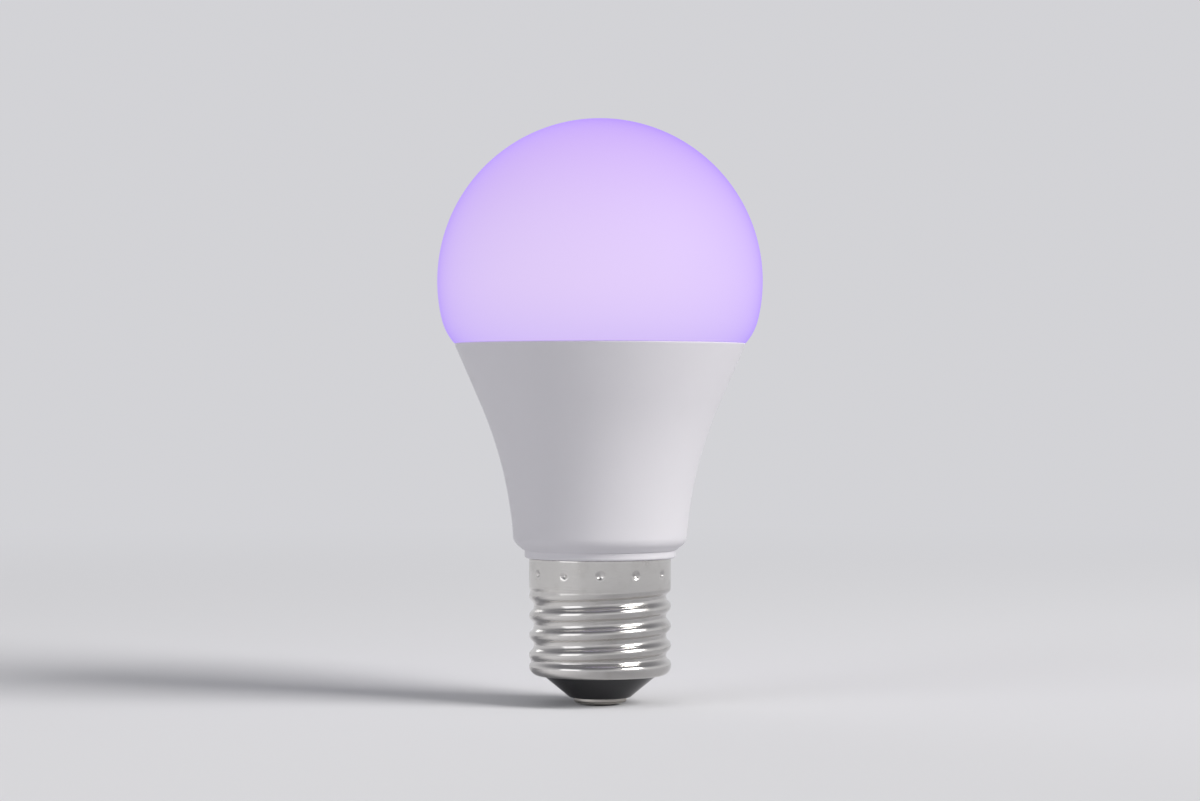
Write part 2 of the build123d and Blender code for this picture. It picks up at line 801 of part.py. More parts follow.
# Fusible resistor, standing where the live lead arrives
fuse_y = -driver_face - mount_gap - fuse_radius
with BuildPart() as fuse_resistor:
    with BuildSketch(Plane((fuse_x, fuse_y, fuse_z))) as fuse_body:
        Circle(fuse_radius - fuse_cap_inset)
    extrude(amount=fuse_length)
    for cap_base in (fuse_z, fuse_z + fuse_length - fuse_cap_length):
        with BuildSketch(Plane((fuse_x, fuse_y, cap_base))) as fuse_cap:
            Circle(fuse_radius)
        extrude(amount=fuse_cap_length)
save(fuse_resistor, "fuse_resistor")


def make_package(name, x, z, length, width, height, leg_count, leg_pitch):
    """Makes a moulded package on the board's back, with legs on both sides."""
    back = Plane(origin=(x, -driver_face, z), x_dir=(1, 0, 0), z_dir=(0, -1, 0))
    with BuildPart() as package:
        with BuildSketch(back.offset(leg_thickness)) as body:
            Rectangle(width, length)
        extrude(amount=height - leg_thickness)
        chamfer(package.faces().sort_by(Axis.Y)[0].edges(), length=package_chamfer)
        with BuildSketch(back) as legs:
            with GridLocations(width + leg_reach, leg_pitch, 2, leg_count):
                Rectangle(leg_reach, leg_width)
        extrude(amount=leg_thickness)
        with BuildSketch(back.offset(leg_thickness)) as knees:
            with GridLocations(width + leg_thickness, leg_pitch, 2, leg_count):
                Rectangle(leg_thickness, leg_width)
        extrude(amount=height / 2 - leg_thickness)
    save(package, name)


make_package(
    "bridge_rectifier", bridge_x, bridge_z, bridge_length, bridge_width, bridge_height, 2, pin_pitch
)
make_package(
    "controller_chip", chip_x, chip_z, chip_length, chip_width, chip_height, chip_leg_count, chip_leg_pitch
)
make_package("output_diode", diode_x, diode_z, diode_width, diode_length, diode_height, 1, pin_pitch)

# Wireless module: its board rises through the light board so that the aerial stands in the globe
with BuildPart() as module_board:
    with BuildSketch(Plane.XZ.offset(-module_face_y)) as module_outline:
        with BuildLine() as module_edge:
            Polyline(
                (-module_half_width, module_foot_height),
                (module_half_width, module_foot_height),
                (module_half_width, module_shoulder_height),
                (aerial_half_width, module_shoulder_height),
                (aerial_half_width, module_top_height),
                (-aerial_half_width, module_top_height),
                (-aerial_half_width, module_shoulder_height),
                (-module_half_width, module_shoulder_height),
                close=True,
            )
        make_face()
    extrude(amount=module_thickness)
save(module_board, "module_board")

module_back = Plane(
    origin=(0, module_face_y - module_thickness, module_foot_height + shield_rise + shield_length / 2),
    x_dir=(1, 0, 0),
    z_dir=(0, -1, 0),
)
with BuildPart() as module_shield:
    with BuildSketch(module_back) as shield_outline:
        Rectangle(shield_width, shield_length)
    extrude(amount=shield_height)
    with BuildSketch(module_back) as shield_hollow:
        Rectangle(shield_width - 2 * shield_sheet, shield_length - 2 * shield_sheet)
    extrude(amount=shield_height - shield_sheet, mode=Mode.SUBTRACT)
save(module_shield, "module_shield")

# Header that holds the module off the driver board
header_plane = Plane(
    origin=(0, -driver_face, module_foot_height + header_rise + header_height / 2),
    x_dir=(1, 0, 0),
    z_dir=(0, -1, 0),
)
with BuildPart() as module_header:
    with BuildSketch(header_plane) as header_section:
        Rectangle(header_length, header_height)
    extrude(amount=module_gap)
save(module_header, "module_header")


def make_lead(name, points, bend_radii):
    """Sweeps a bare round lead along straight runs joined by tangent arcs, and prints its length."""
    with BuildPart() as lead:
        with BuildLine() as route:
            FilletPolyline(*points, radius=bend_radii)
        path = route.wire()
        with BuildSketch(Plane(origin=points[0], z_dir=path % 0)) as section:
            RegularPolygon(lead_radius, lead_sides)
        sweep(path=path)
    straight = section.sketch.area * path.length
    print(f"{name}: length {path.length:.2f}, volume {lead.part.volume:.3f} of {straight:.3f}")
    save(lead, name)


# Live lead, from the fusible resistor down into the contact's stem
make_lead(
    "live_lead",
    [
        (fuse_x, fuse_y, fuse_z),
        (fuse_x, fuse_y, neck_end_height - live_run_drop),
        (0, 0, neck_end_height - live_run_drop),
        (0, 0, contact_stem_height - contact_bore_depth),
    ],
    lead_bend,
)

# Neutral lead, from the board's back round the end of the neck to the shell
neutral_y = -driver_face - lead_radius - lead_clearance
neutral_reach = thread_minor_radius - shell_sheet - lead_clearance - lead_radius
neutral_x = neutral_margin - neck_bore_radius
neutral_run_height = neck_end_height - neutral_run_drop
make_lead(
    "neutral_lead",
    [
        (neutral_x, neutral_y, driver_tail_height + neutral_start_rise),
        (neutral_x, neutral_y, neutral_run_height),
        (-neutral_reach, 0, neutral_run_height),
        (-neutral_reach, 0, lead_groove_top - neutral_end_gap),
    ],
    lead_bend,
)
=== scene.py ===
"""Looks of a colour LED lamp with an opal cover, a flared housing and a round-thread screw cap.

The lamp stands on its centre contact. Z = 0 is the contact's end, and +Z runs to the top of the cover.
Sizes are in millimetres and become metres where a mesh is made.
"""

import functools
import logging
import math
from dataclasses import dataclass, field
from enum import Enum
from typing import Any, Callable, Iterable, Mapping

import bpy
import numpy as np
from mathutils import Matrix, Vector


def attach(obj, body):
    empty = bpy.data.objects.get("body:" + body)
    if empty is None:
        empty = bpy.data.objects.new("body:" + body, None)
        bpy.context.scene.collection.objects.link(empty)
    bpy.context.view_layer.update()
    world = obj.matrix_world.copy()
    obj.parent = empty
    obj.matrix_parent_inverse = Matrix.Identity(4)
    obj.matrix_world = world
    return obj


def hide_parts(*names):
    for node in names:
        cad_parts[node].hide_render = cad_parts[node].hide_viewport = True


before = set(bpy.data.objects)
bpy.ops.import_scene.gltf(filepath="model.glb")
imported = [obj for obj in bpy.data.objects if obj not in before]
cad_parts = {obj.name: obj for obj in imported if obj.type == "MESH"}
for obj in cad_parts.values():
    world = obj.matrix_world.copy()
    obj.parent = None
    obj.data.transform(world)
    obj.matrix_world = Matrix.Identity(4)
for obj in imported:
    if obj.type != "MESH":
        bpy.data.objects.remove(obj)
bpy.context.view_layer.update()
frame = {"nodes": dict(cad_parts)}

log = logging.getLogger("lamp")

MM = 0.001
TAU = 2.0 * math.pi
QUARTER = math.pi / 2
BOTH_SIDES = (-1.0, 1.0)

# Most of a side that a corner's arc takes, and the length of the step beside it as a share of the radius.
SIDE_SHARE = 0.45
SUPPORT_SHARE = 0.35

# Half angle from which a corner counts as straight, and the length under which a step counts as none.
STRAIGHT = QUARTER - 1e-4
NO_STEP = 1e-7

Colour = tuple[float, float, float]
Place = tuple[float, float, float]


class Corner(float, Enum):
    """How tightly a moulded, pressed or drawn edge is rounded, as a radius in millimetres."""

    CRISP = 0.1
    EASED = 0.22
    SOFT = 0.4


class Grain(Enum):
    """Direction in which a metal was worked, as factors on the coordinates that its marks follow."""

    AROUND = (0.06, 0.06, 1.0)
    ALONG = (1.0, 1.0, 0.04)
    NONE = (1.0, 1.0, 1.0)


class Facing(Enum):
    """Direction of a small part's own Z axis, with its own X, Y and Z axes as rows."""

    UP = ((1.0, 0.0, 0.0), (0.0, 1.0, 0.0), (0.0, 0.0, 1.0))
    FRONT = ((1.0, 0.0, 0.0), (0.0, 0.0, 1.0), (0.0, -1.0, 0.0))
    BACK = ((1.0, 0.0, 0.0), (0.0, 0.0, -1.0), (0.0, 1.0, 0.0))


# Curves and surfaces


def cornered(points: Any, radius: Any = 0.0) -> np.ndarray:
    """Adds the radii of its corners to a line, as one more column."""
    return np.column_stack([np.array(points), np.broadcast_to(radius, len(points))])


def rounded(rows: np.ndarray, steps: int = 5, closed: bool = True) -> np.ndarray:
    """Rounds the corners of a line with arcs tangent to both of their sides.

    With a and b the unit directions to the neighbours and h half the angle between them, an arc of radius
    r starts r / tan(h) along a, ends as far along b, and its centre lies r / sin(h) along a + b. Its
    points turn evenly, and a short step on either side of it keeps the shading of the flat sides even.

    Args:
        rows: Coordinates of each corner and, in the last column, its radius.
        steps: Number of steps in each arc.
        closed: Whether the last corner is joined to the first.

    Returns:
        The rounded line's points.
    """
    corners = rows[:, :-1]
    r = rows[:, -1].copy()
    before = np.roll(corners, 1, axis=0) - corners
    after = np.roll(corners, -1, axis=0) - corners
    length_before = np.linalg.norm(before, axis=1)
    length_after = np.linalg.norm(after, axis=1)
    a = before / length_before[:, None]
    b = after / length_after[:, None]
    half = np.arccos(np.clip((a * b).sum(axis=1), -1.0, 1.0)) / 2.0
    if not closed:
        r[[0, -1]] = 0.0
    r[half > STRAIGHT] = 0.0
    r = np.minimum(r, SIDE_SHARE * np.minimum(length_before, length_after) * np.tan(half))
    reach = (r / np.tan(half))[:, None]
    bisector = a + b
    bisector = bisector / np.maximum(np.linalg.norm(bisector, axis=1, keepdims=True), 1e-12)
    centre = corners + bisector * (r / np.sin(half))[:, None]
    start = (corners + a * reach - centre)[:, None]
    end = (corners + b * reach - centre)[:, None]
    turn = (math.pi - 2.0 * half)[:, None, None]
    share = np.linspace(0.0, 1.0, steps + 1)[None, :, None]
    arc = np.sin((1.0 - share) * turn) * start + np.sin(share * turn) * end
    arc = arc / np.maximum(np.sin(turn), NO_STEP)
    arc = np.where(r[:, None, None] > 0.0, arc + centre[:, None], corners[:, None])
    support = SUPPORT_SHARE * r[:, None]
    first = (corners + a * (reach + support))[:, None]
    last = (corners + b * (reach + support))[:, None]
    points = np.concatenate([first, arc, last], axis=1).reshape(-1, corners.shape[1])
    apart = np.linalg.norm(points - np.roll(points, 1, axis=0), axis=1) > NO_STEP
    apart[0] |= not closed
    return points[apart]


def resampled(line: np.ndarray, spacing: float, closed: bool) -> np.ndarray:
    """Adds points on the long steps of a line.

    Args:
        line: Points of the line.
        spacing: Longest step that is allowed.
        closed: Whether the last point is joined to the first.

    Returns:
        The line with the added points.
    """
    ends = np.roll(line, -1, axis=0) if closed else line[1:]
    starts = line if closed else line[:-1]
    counts = np.maximum(np.ceil(np.linalg.norm(ends - starts, axis=1) / spacing).astype(int), 1)
    index = np.repeat(np.arange(len(starts)), counts)
    first = np.repeat(np.cumsum(counts) - counts, counts)
    share = ((np.arange(counts.sum()) - first) / counts[index])[:, None]
    points = starts[index] + (ends[index] - starts[index]) * share
    return points if closed else np.vstack([points, line[-1:]])


def section(rows: Any, spacing: float, closed: bool = True, steps: int = 5) -> np.ndarray:
    """Rounds and resamples a section that is given as rows of radius, height and corner radius."""
    return resampled(rounded(np.array(rows, float), steps, closed), spacing, closed)


def turned(profile: np.ndarray, columns: int) -> np.ndarray:
    """Carries a profile round the Z axis, its point (r, z) to (r cos t, r sin t, z) for even steps of t.

    Args:
        profile: Profile points as (radius, height) rows.
        columns: Number of steps round the axis.

    Returns:
        A grid of points, one row to a profile point.
    """
    turn = np.linspace(0.0, TAU, columns, endpoint=False)
    radius = profile[:, :1]
    return stacked(np.stack([radius * np.cos(turn), radius * np.sin(turn)], axis=-1), profile[:, 1])


def stacked(rings: np.ndarray, level: np.ndarray) -> np.ndarray:
    """Lifts each of the level rings of a grid to its height."""
    return np.concatenate([rings, np.broadcast_to(level[:, None, None], (*rings.shape[:2], 1))], axis=-1)


def tube(path: np.ndarray, radius: float, sides: int) -> np.ndarray:
    """Carries a circle along a path.

    With n1 square to the path's tangent and to a fixed direction, and n2 square to both, a point is
    path + r (cos s n1 + sin s n2).

    Args:
        path: Points along the middle of the tube.
        radius: Radius of the tube.
        sides: Number of steps round the tube.

    Returns:
        A grid of points, one row to a path point.
    """
    tangent = np.gradient(path, axis=0)
    tangent /= np.linalg.norm(tangent, axis=1, keepdims=True)
    normal = np.cross(tangent, np.array([0.31, 0.93, 0.19]))
    normal /= np.linalg.norm(normal, axis=1, keepdims=True)
    binormal = np.cross(tangent, normal)
    turn = np.linspace(0.0, TAU, sides, endpoint=False)[None, :, None]
    return path[:, None] + radius * (np.cos(turn) * normal[:, None] + np.sin(turn) * binormal[:, None])


def rounded_rectangle(half_x: Any, half_y: Any, radius: Any, steps: int = 6) -> np.ndarray:
    """Draws a rectangle with round corners, anticlockwise, or one for each entry of its arrays.

    Each corner is a quarter circle about the point that lies a radius in from both sides.

    Args:
        half_x: Half the width.
        half_y: Half the depth.
        radius: Radius of the corners.
        steps: Number of steps in each corner.

    Returns:
        The points as (x, y) rows.
    """
    turn = (np.linspace(0.0, QUARTER, steps + 1) + np.arange(4)[:, None] * QUARTER).ravel()
    half_x, half_y, radius = (np.asarray(value, float)[..., None] for value in (half_x, half_y, radius))
    x = np.repeat([1.0, -1.0, -1.0, 1.0], steps + 1) * (half_x - radius) + radius * np.cos(turn)
    y = np.repeat([1.0, 1.0, -1.0, -1.0], steps + 1) * (half_y - radius) + radius * np.sin(turn)
    return np.stack([x, y], axis=-1)


def block(size: Iterable[float], corner: float, edge: float, steps: int = 4) -> np.ndarray:
    """Makes the surface of a block whose edges are all rounded, centred on the origin.

    Each row is a rounded rectangle drawn in by d at height h. Both follow a quarter arc at the bottom
    edge, and its mirror image at the top edge.

    Args:
        size: Full sizes along X, Y and Z.
        corner: Radius of the four upright edges.
        edge: Radius of the bottom and top edges.
        steps: Number of steps in each arc.

    Returns:
        A grid of points, one row to a level.
    """
    half_x, half_y, half_z = (0.5 * s for s in size)
    bend = np.linspace(0.0, QUARTER, steps + 1)
    draw_in = np.concatenate([[2.0 * edge], edge * (1.0 - np.sin(bend)), [0.0]])
    draw_in = np.concatenate([draw_in, draw_in[::-1]])
    level = np.concatenate([[0.0], edge * (1.0 - np.cos(bend)), [1.4 * edge]]) - half_z
    level = np.concatenate([level, -level[::-1]])
    radius = np.maximum(corner - draw_in, 0.02 * corner)
    return stacked(rounded_rectangle(half_x - draw_in, half_y - draw_in, radius, steps), level)


def placed(grid: np.ndarray, origin: Iterable[float], facing: Facing = Facing.UP) -> np.ndarray:
    """Turns a grid so that its own Z axis faces a direction, and moves it to its place."""
    return grid @ np.array(facing.value) + np.array(origin, float)


def polar(grid: np.ndarray) -> tuple[np.ndarray, np.ndarray, np.ndarray]:
    """Returns the points' distances from the Z axis, angles round it and heights."""
    x, y, z = np.moveaxis(grid, -1, 0)
    return np.hypot(x, y), np.arctan2(y, x), z


def smooth(low: float, high: float, value: np.ndarray) -> np.ndarray:
    """Steps smoothly from 0 at low to 1 at high, as 3 t^2 - 2 t^3 of the clipped share t."""
    share = np.clip((value - low) / (high - low), 0.0, 1.0)
    return share * share * (3.0 - 2.0 * share)


def below(edge: float, blur: float, value: np.ndarray) -> np.ndarray:
    """Returns 1 below an edge and 0 above it, with a smooth step as wide as the blur on either side."""
    return smooth(edge + blur, edge - blur, value)


def sunk(grid: np.ndarray, depth: np.ndarray, drop: Any = 0.0) -> np.ndarray:
    """Moves points towards the Z axis, and down.

    Args:
        grid: Points.
        depth: Distance towards the axis, for each point.
        drop: Distance down, for each point.

    Returns:
        The moved points.
    """
    radius, _, height = polar(grid)
    level = grid[..., :2] * ((radius - depth) / radius)[..., None]
    return np.concatenate([level, (height - drop)[..., None]], axis=-1)


def quads_of(rows: int, columns: int, loop: bool = False) -> np.ndarray:
    """Numbers the corners of the faces of a grid that wraps round along its columns.

    Args:
        rows: Number of rows.
        columns: Number of columns.
        loop: Whether the last row is joined to the first.

    Returns:
        Four point numbers to a face.
    """
    here = np.arange(rows if loop else rows - 1)[:, None] * columns
    there = (here + columns) % (rows * columns)
    column = np.arange(columns)
    beside = (column + 1) % columns
    return np.stack([here + column, here + beside, there + beside, there + column], axis=-1).reshape(-1, 4)


def link(name: str, data: bpy.types.ID) -> bpy.types.Object:
    """Makes an object of some data and puts it into the scene.

    Args:
        name: Name of the object.
        data: Mesh, light or camera.

    Returns:
        The object.
    """
    made = bpy.data.objects.new(name, data)
    bpy.context.scene.collection.objects.link(made)
    return made


def mesh_object(name: str, points: np.ndarray, faces: list, finish: "Finish") -> bpy.types.Object:
    """Makes a mesh object.

    Args:
        name: Name of the object.
        points: Points in metres.
        faces: Point numbers of each face.
        finish: Finish of the whole object.

    Returns:
        The object.
    """
    mesh = bpy.data.meshes.new(name)
    mesh.from_pydata(points.tolist(), [], faces)
    mesh.materials.append(material_of(finish))
    mesh.update()
    return link(name, mesh)


class Shape:
    """A mesh in the making: closed surfaces given as grids of points, in millimetres."""

    def __init__(self, name: str) -> None:
        """Starts an empty shape.

        Args:
            name: Name of the object that the shape becomes.
        """
        self.name = name
        self.points: list[np.ndarray] = []
        self.faces: list[list[int]] = []
        self.count = 0

    def add(self, grid: np.ndarray, loop: bool = False) -> "Shape":
        """Adds a grid that wraps round along its columns, with its faces turned outwards.

        Where the enclosed volume, a sixth of the sum of a . (b x c) over the triangles, is negative, they
        are turned over.

        Args:
            grid: Points, as rows by columns by three.
            loop: Whether the last row is joined to the first. Otherwise a fan closes each end.

        Returns:
            The shape itself.
        """
        rows, columns, _ = grid.shape
        points = grid.reshape(-1, 3)
        quads = quads_of(rows, columns, loop)
        fans = np.empty((0, 3), int)
        if not loop:
            low = np.arange(columns)
            high = low + (rows - 1) * columns
            middle = np.full(columns, len(points))
            fans = np.vstack(
                [
                    np.stack([middle, np.roll(low, -1), low], axis=-1),
                    np.stack([middle + 1, high, np.roll(high, -1)], axis=-1),
                ]
            )
            points = np.vstack([points, grid[0].mean(axis=0), grid[-1].mean(axis=0)])
        triangles = np.vstack([quads[:, :3], quads[:, [0, 2, 3]], fans])
        a, b, c = (points[triangles[:, k]] for k in range(3))
        order = -1 if (a * np.cross(b, c)).sum() < 0.0 else 1
        for part in (quads, fans):
            self.faces += (part[:, ::order] + self.count).tolist()
        self.points.append(points)
        self.count += len(points)
        return self

    def finish(self, finish: "Finish", slot: str, *nodes: str) -> None:
        """Makes the object, dresses it and lets it stand for CAD nodes.

        Args:
            finish: Finish of the whole piece.
            slot: Not used.
            nodes: CAD nodes that the piece stands for, if any.
        """
        piece = mesh_object(self.name, np.vstack(self.points) * MM, self.faces, finish)
        piece.data.polygons.foreach_set("use_smooth", np.ones(len(self.faces), bool))
        piece.data.update()
        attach(piece, "root")
        if nodes:
            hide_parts(*nodes)
        log.info("%s: %d faces, for %s", self.name, len(self.faces), ", ".join(nodes) or "no node")


# Shader formulas


def operator(operation: str, reflected: bool = False) -> Callable[..., "Value"]:
    """Makes one of a value's operators out of a Math node's operation.

    Args:
        operation: The operation.
        reflected: Whether the other value comes first.

    Returns:
        The operator, as a method.
    """

    def method(self: "Value", *others: Any) -> "Value":
        """Returns the result of the operation."""
        return self.graph.maths(operation, *((*others, self) if reflected else (self, *others)))

    return method


class Value:
    """A number, colour or vector on its way between nodes, used in formulas as a plain number is."""

    def __init__(self, graph: "Graph", socket: bpy.types.NodeSocket) -> None:
        """Wraps a socket.

        Args:
            graph: Graph that the socket's node belongs to.
            socket: Output socket.
        """
        self.graph = graph
        self.socket = socket

    def maths(self, operation: str, *others: Any) -> "Value":
        """Returns the result of a Math node with this value first."""
        return self.graph.maths(operation, self, *others)

    __add__ = __radd__ = operator("ADD")
    __sub__ = operator("SUBTRACT")
    __rsub__ = operator("SUBTRACT", reflected=True)
    __mul__ = __rmul__ = operator("MULTIPLY")
    __truediv__ = operator("DIVIDE")
    __rtruediv__ = operator("DIVIDE", reflected=True)
    __pow__ = operator("POWER")
    __abs__ = operator("ABSOLUTE")

    def either(self, other: "Value") -> "Value":
        """Returns the larger of two masks."""
        return self.maths("MAXIMUM", other)

    def rises(self, low: float, high: float) -> "Value":
        """Returns a smooth step from 0 at low to 1 at high."""
        settings = {"interpolation_type": "SMOOTHSTEP", "clamp": True}
        return self.graph.node("ShaderNodeMapRange", settings, {0: self, 1: low, 2: high})

    def within(self, low: float, high: float, blur: float) -> "Value":
        """Returns 1 between low and high, and 0 outside, with soft ends."""
        return self.rises(low - blur, low + blur) * (1.0 - self.rises(high - blur, high + blur))


def distance(x: Value, y: Value) -> Value:
    """Returns the length of a vector from its two parts."""
    return (x * x + y * y) ** 0.5


class Graph:
    """The nodes of one material or of the world."""

    def __init__(self, tree: bpy.types.NodeTree) -> None:
        """Takes over a node tree and empties it.

        Args:
            tree: Node tree to fill.
        """
        self.tree = tree
        self.tree.nodes.clear()

    def node(
        self,
        kind: str,
        settings: Mapping[str, Any] | None = None,
        inputs: Mapping[Any, Any] | None = None,
        output: int | str = 0,
    ) -> Value:
        """Makes a node, sets it up and fills its sockets.

        Args:
            kind: Type of the node.
            settings: Properties of the node, such as a Math node's operation.
            inputs: Values or links, by the name or number of the socket.
            output: Name or number of the output that is returned.

        Returns:
            The chosen output, or the first input of a node that has none.
        """
        made = self.tree.nodes.new(kind)
        for key, value in (settings or {}).items():
            setattr(made, key, value)
        for key, value in (inputs or {}).items():
            if isinstance(value, Value):
                self.tree.links.new(value.socket, made.inputs[key])
            else:
                made.inputs[key].default_value = value
        return Value(self, made.outputs[output] if len(made.outputs) else made.inputs[0])

    def maths(self, operation: str, *values: Any) -> Value:
        """Returns the result of a Math node on numbers or values."""
        return self.node("ShaderNodeMath", {"operation": operation}, dict(enumerate(values)))

    def scaled(self, factors: tuple[float, ...]) -> Value:
        """Returns the place of a point on the object, in metres, times three factors."""
        vector = self.node("ShaderNodeTexCoord", output="Object")
        return self.node("ShaderNodeMapping", inputs={"Vector": vector, "Scale": factors})

    def split(self, vector: Value) -> tuple[Value, Value, Value]:
        """Returns the three numbers of a vector."""
        outputs = self.node("ShaderNodeSeparateXYZ", inputs={0: vector}).socket.node.outputs
        return Value(self, outputs[0]), Value(self, outputs[1]), Value(self, outputs[2])

    def place(self) -> tuple[Value, Value, Value]:
        """Returns the three coordinates of a point on the object, in millimetres."""
        return self.split(self.scaled((1.0 / MM,) * 3))

    def normal(self) -> tuple[Value, Value, Value]:
        """Returns the three numbers of the surface's own normal."""
        return self.split(self.node("ShaderNodeTexCoord", output="Normal"))

    def noise(self, grain_mm: float, detail: float = 2.0, stretch: tuple = Grain.NONE.value) -> Value:
        """Makes cloudy noise.

        Args:
            grain_mm: Size of the largest blots, in millimetres.
            detail: Number of finer layers.
            stretch: Factors on the coordinates, above 1 where the blots are to be shorter.

        Returns:
            The noise, from 0 to 1.
        """
        inputs = {"Vector": self.scaled(stretch), "Scale": 1.0 / (grain_mm * MM), "Detail": detail}
        return self.node("ShaderNodeTexNoise", inputs=inputs)

    def mix(self, share: Any, first: Any, second: Any) -> Value:
        """Mixes two colours.

        Args:
            share: Share of the second colour, from 0 to 1.
            first: First colour, as three numbers or a value.
            second: Second colour, as three numbers or a value.

        Returns:
            The mixed colour.
        """
        ends = [(*end, 1.0) if isinstance(end, tuple) else end for end in (first, second)]
        settings = {"data_type": "RGBA", "clamp_factor": True}
        return self.node("ShaderNodeMix", settings, {0: share, 6: ends[0], 7: ends[1]}, 2)

    def mottled(self, cloud: Value, colour: Colour, dim: float) -> Value:
        """Returns a colour that is dimmed by a factor where the cloud is thin."""
        return self.mix(cloud, tuple(dim * part for part in colour), colour)

    def bump(self, height: Value, depth_mm: float) -> Value:
        """Turns a height from 0 to 1 into a normal, with the depth that 1 stands for."""
        inputs = {"Strength": 1.0, "Distance": depth_mm * MM, "Height": height}
        return self.node("ShaderNodeBump", inputs=inputs)

    def surface(self, **inputs: Any) -> None:
        """Makes the shader and joins it to the output.

        Args:
            inputs: Sockets of the shader, with _ for a space.
        """
        named = {}
        for key, value in inputs.items():
            plain = isinstance(value, tuple) and len(value) == 3
            named[key.replace("_", " ")] = (*value, 1.0) if plain else value
        shader = self.node("ShaderNodeBsdfPrincipled", inputs=named)
        self.node("ShaderNodeOutputMaterial", inputs={"Surface": shader})


# Finishes


@dataclass(frozen=True)
class Finish:
    """Base of the finishes, each of which paints the graph of its material."""

    name: str

    def paint(self, graph: Graph) -> None:
        """Adds the finish's own nodes to a graph."""
        raise NotImplementedError


@functools.cache
def material_of(finish: Finish) -> bpy.types.Material:
    """Makes a finish's material, once for all the pieces that have it.

    Args:
        finish: The finish.

    Returns:
        Its material.
    """
    material = bpy.data.materials.new(finish.name)
    material.use_nodes = True
    finish.paint(Graph(material.node_tree))
    return material


def dress(finish: Finish, *nodes: str) -> None:
    """Gives CAD nodes a finish in place of their plain one.

    Args:
        finish: Finish for all their slots.
        nodes: Names of the nodes.
    """
    material = material_of(finish)
    for name in nodes:
        node = frame["nodes"][name]
        if not node.material_slots:
            node.data.materials.append(material)
        for place in node.material_slots:
            place.material = material
        log.info("%s: dressed in %s", name, material.name)


@dataclass(frozen=True)
class OpalCover(Finish):
    """Opal plastic lit from inside.

    The light has its own colours at the middle's height, at the top and at the rim. The base is what the
    unlit surface adds under room light, and the tint is the skin's, which deepens towards the outline.
    """

    name: str = "opal_cover"
    glow: Colour = (0.772, 0.652, 0.87)
    glow_top: Colour = (0.700, 0.530, 0.87)
    glow_rim: Colour = (0.708, 0.598, 0.88)
    base: Colour = (0.08, 0.06, 0.11)
    tint: Colour = (0.905, 0.874, 1.0)
    middle: float = 78.0
    reach: tuple[float, float] = (63.6, 114.0)

    def paint(self, graph: Graph) -> None:
        """Blends the three lights by height under a thin tinted skin.

        Args:
            graph: Graph of the material.
        """
        _, _, height = graph.place()
        glow = graph.mix(height.rises(self.middle, self.reach[1]), self.glow, self.glow_top)
        glow = graph.mix(1.0 - height.rises(self.reach[0], self.middle), glow, self.glow_rim)
        skin = graph.noise(0.35)
        graph.surface(
            Base_Color=graph.mottled(graph.noise(9.0), self.base, 0.94),
            Roughness=0.6 + 0.06 * skin,
            Emission_Color=glow,
            Emission_Strength=1.0,
            IOR=1.5,
            Specular_IOR_Level=0.15,
            Coat_Weight=1.0,
            Coat_Roughness=0.5,
            Coat_IOR=1.02,
            Coat_Tint=self.tint,
            Normal=graph.bump(skin, 0.004),
        )


@dataclass(frozen=True)
class MouldedPlastic(Finish):
    """Moulded plastic with a fine grain, whose colour drifts by a share over the piece."""

    colour: Colour
    roughness: float = 0.5
    grain_mm: float = 0.25
    depth_mm: float = 0.008
    drift: float = 0.04

    def paint(self, graph: Graph) -> None:
        """Adds the grain and a wide, faint cloud.

        Args:
            graph: Graph of the material.
        """
        grain = graph.noise(self.grain_mm, 3.0)
        graph.surface(
            Base_Color=graph.mottled(graph.noise(14.0, 3.0), self.colour, 1.0 - self.drift),
            Roughness=self.roughness - 0.05 + 0.1 * grain,
            IOR=1.5,
            Normal=graph.bump(grain, self.depth_mm),
        )


@dataclass(frozen=True)
class SoftCompound(Finish):
    """Silicone, thermal pad or a dipped coating: soft, slightly uneven and without grain."""

    colour: Colour
    roughness: float = 0.55
    swell_mm: float = 1.2
    depth_mm: float = 0.02

    def paint(self, graph: Graph) -> None:
        """Adds the swell and a fine dust.

        Args:
            graph: Graph of the material.
        """
        swell = graph.noise(self.swell_mm)
        dust = graph.noise(0.2)
        graph.surface(
            Base_Color=graph.mottled(swell, self.colour, 0.9),
            Roughness=self.roughness + 0.08 * (dust - 0.5),
            Normal=graph.bump(swell + 0.1 * dust, self.depth_mm),
        )


@dataclass(frozen=True)
class WorkedMetal(Finish):
    """Metal that was rolled, drawn, turned or plated.

    Its marks run along the grain, mark_mm apart and depth_mm deep. Dullness is the share of the tarnish
    where it is strongest.
    """

    colour: Colour
    tarnish: Colour
    roughness: float = 0.25
    grain: Grain = Grain.AROUND
    mark_mm: float = 0.12
    depth_mm: float = 0.002
    dullness: float = 0.35

    def paint(self, graph: Graph) -> None:
        """Adds the marks and the dull patches.

        Args:
            graph: Graph of the material.
        """
        marks = graph.noise(self.mark_mm, 3.0, self.grain.value)
        patches = graph.noise(4.0, 4.0).rises(0.45, 0.75)
        graph.surface(
            Base_Color=graph.mix(patches * self.dullness, self.colour, self.tarnish),
            Metallic=1.0,
            Roughness=self.roughness + 0.12 * patches + 0.08 * (marks - 0.5),
            Normal=graph.bump(marks, self.depth_mm),
        )


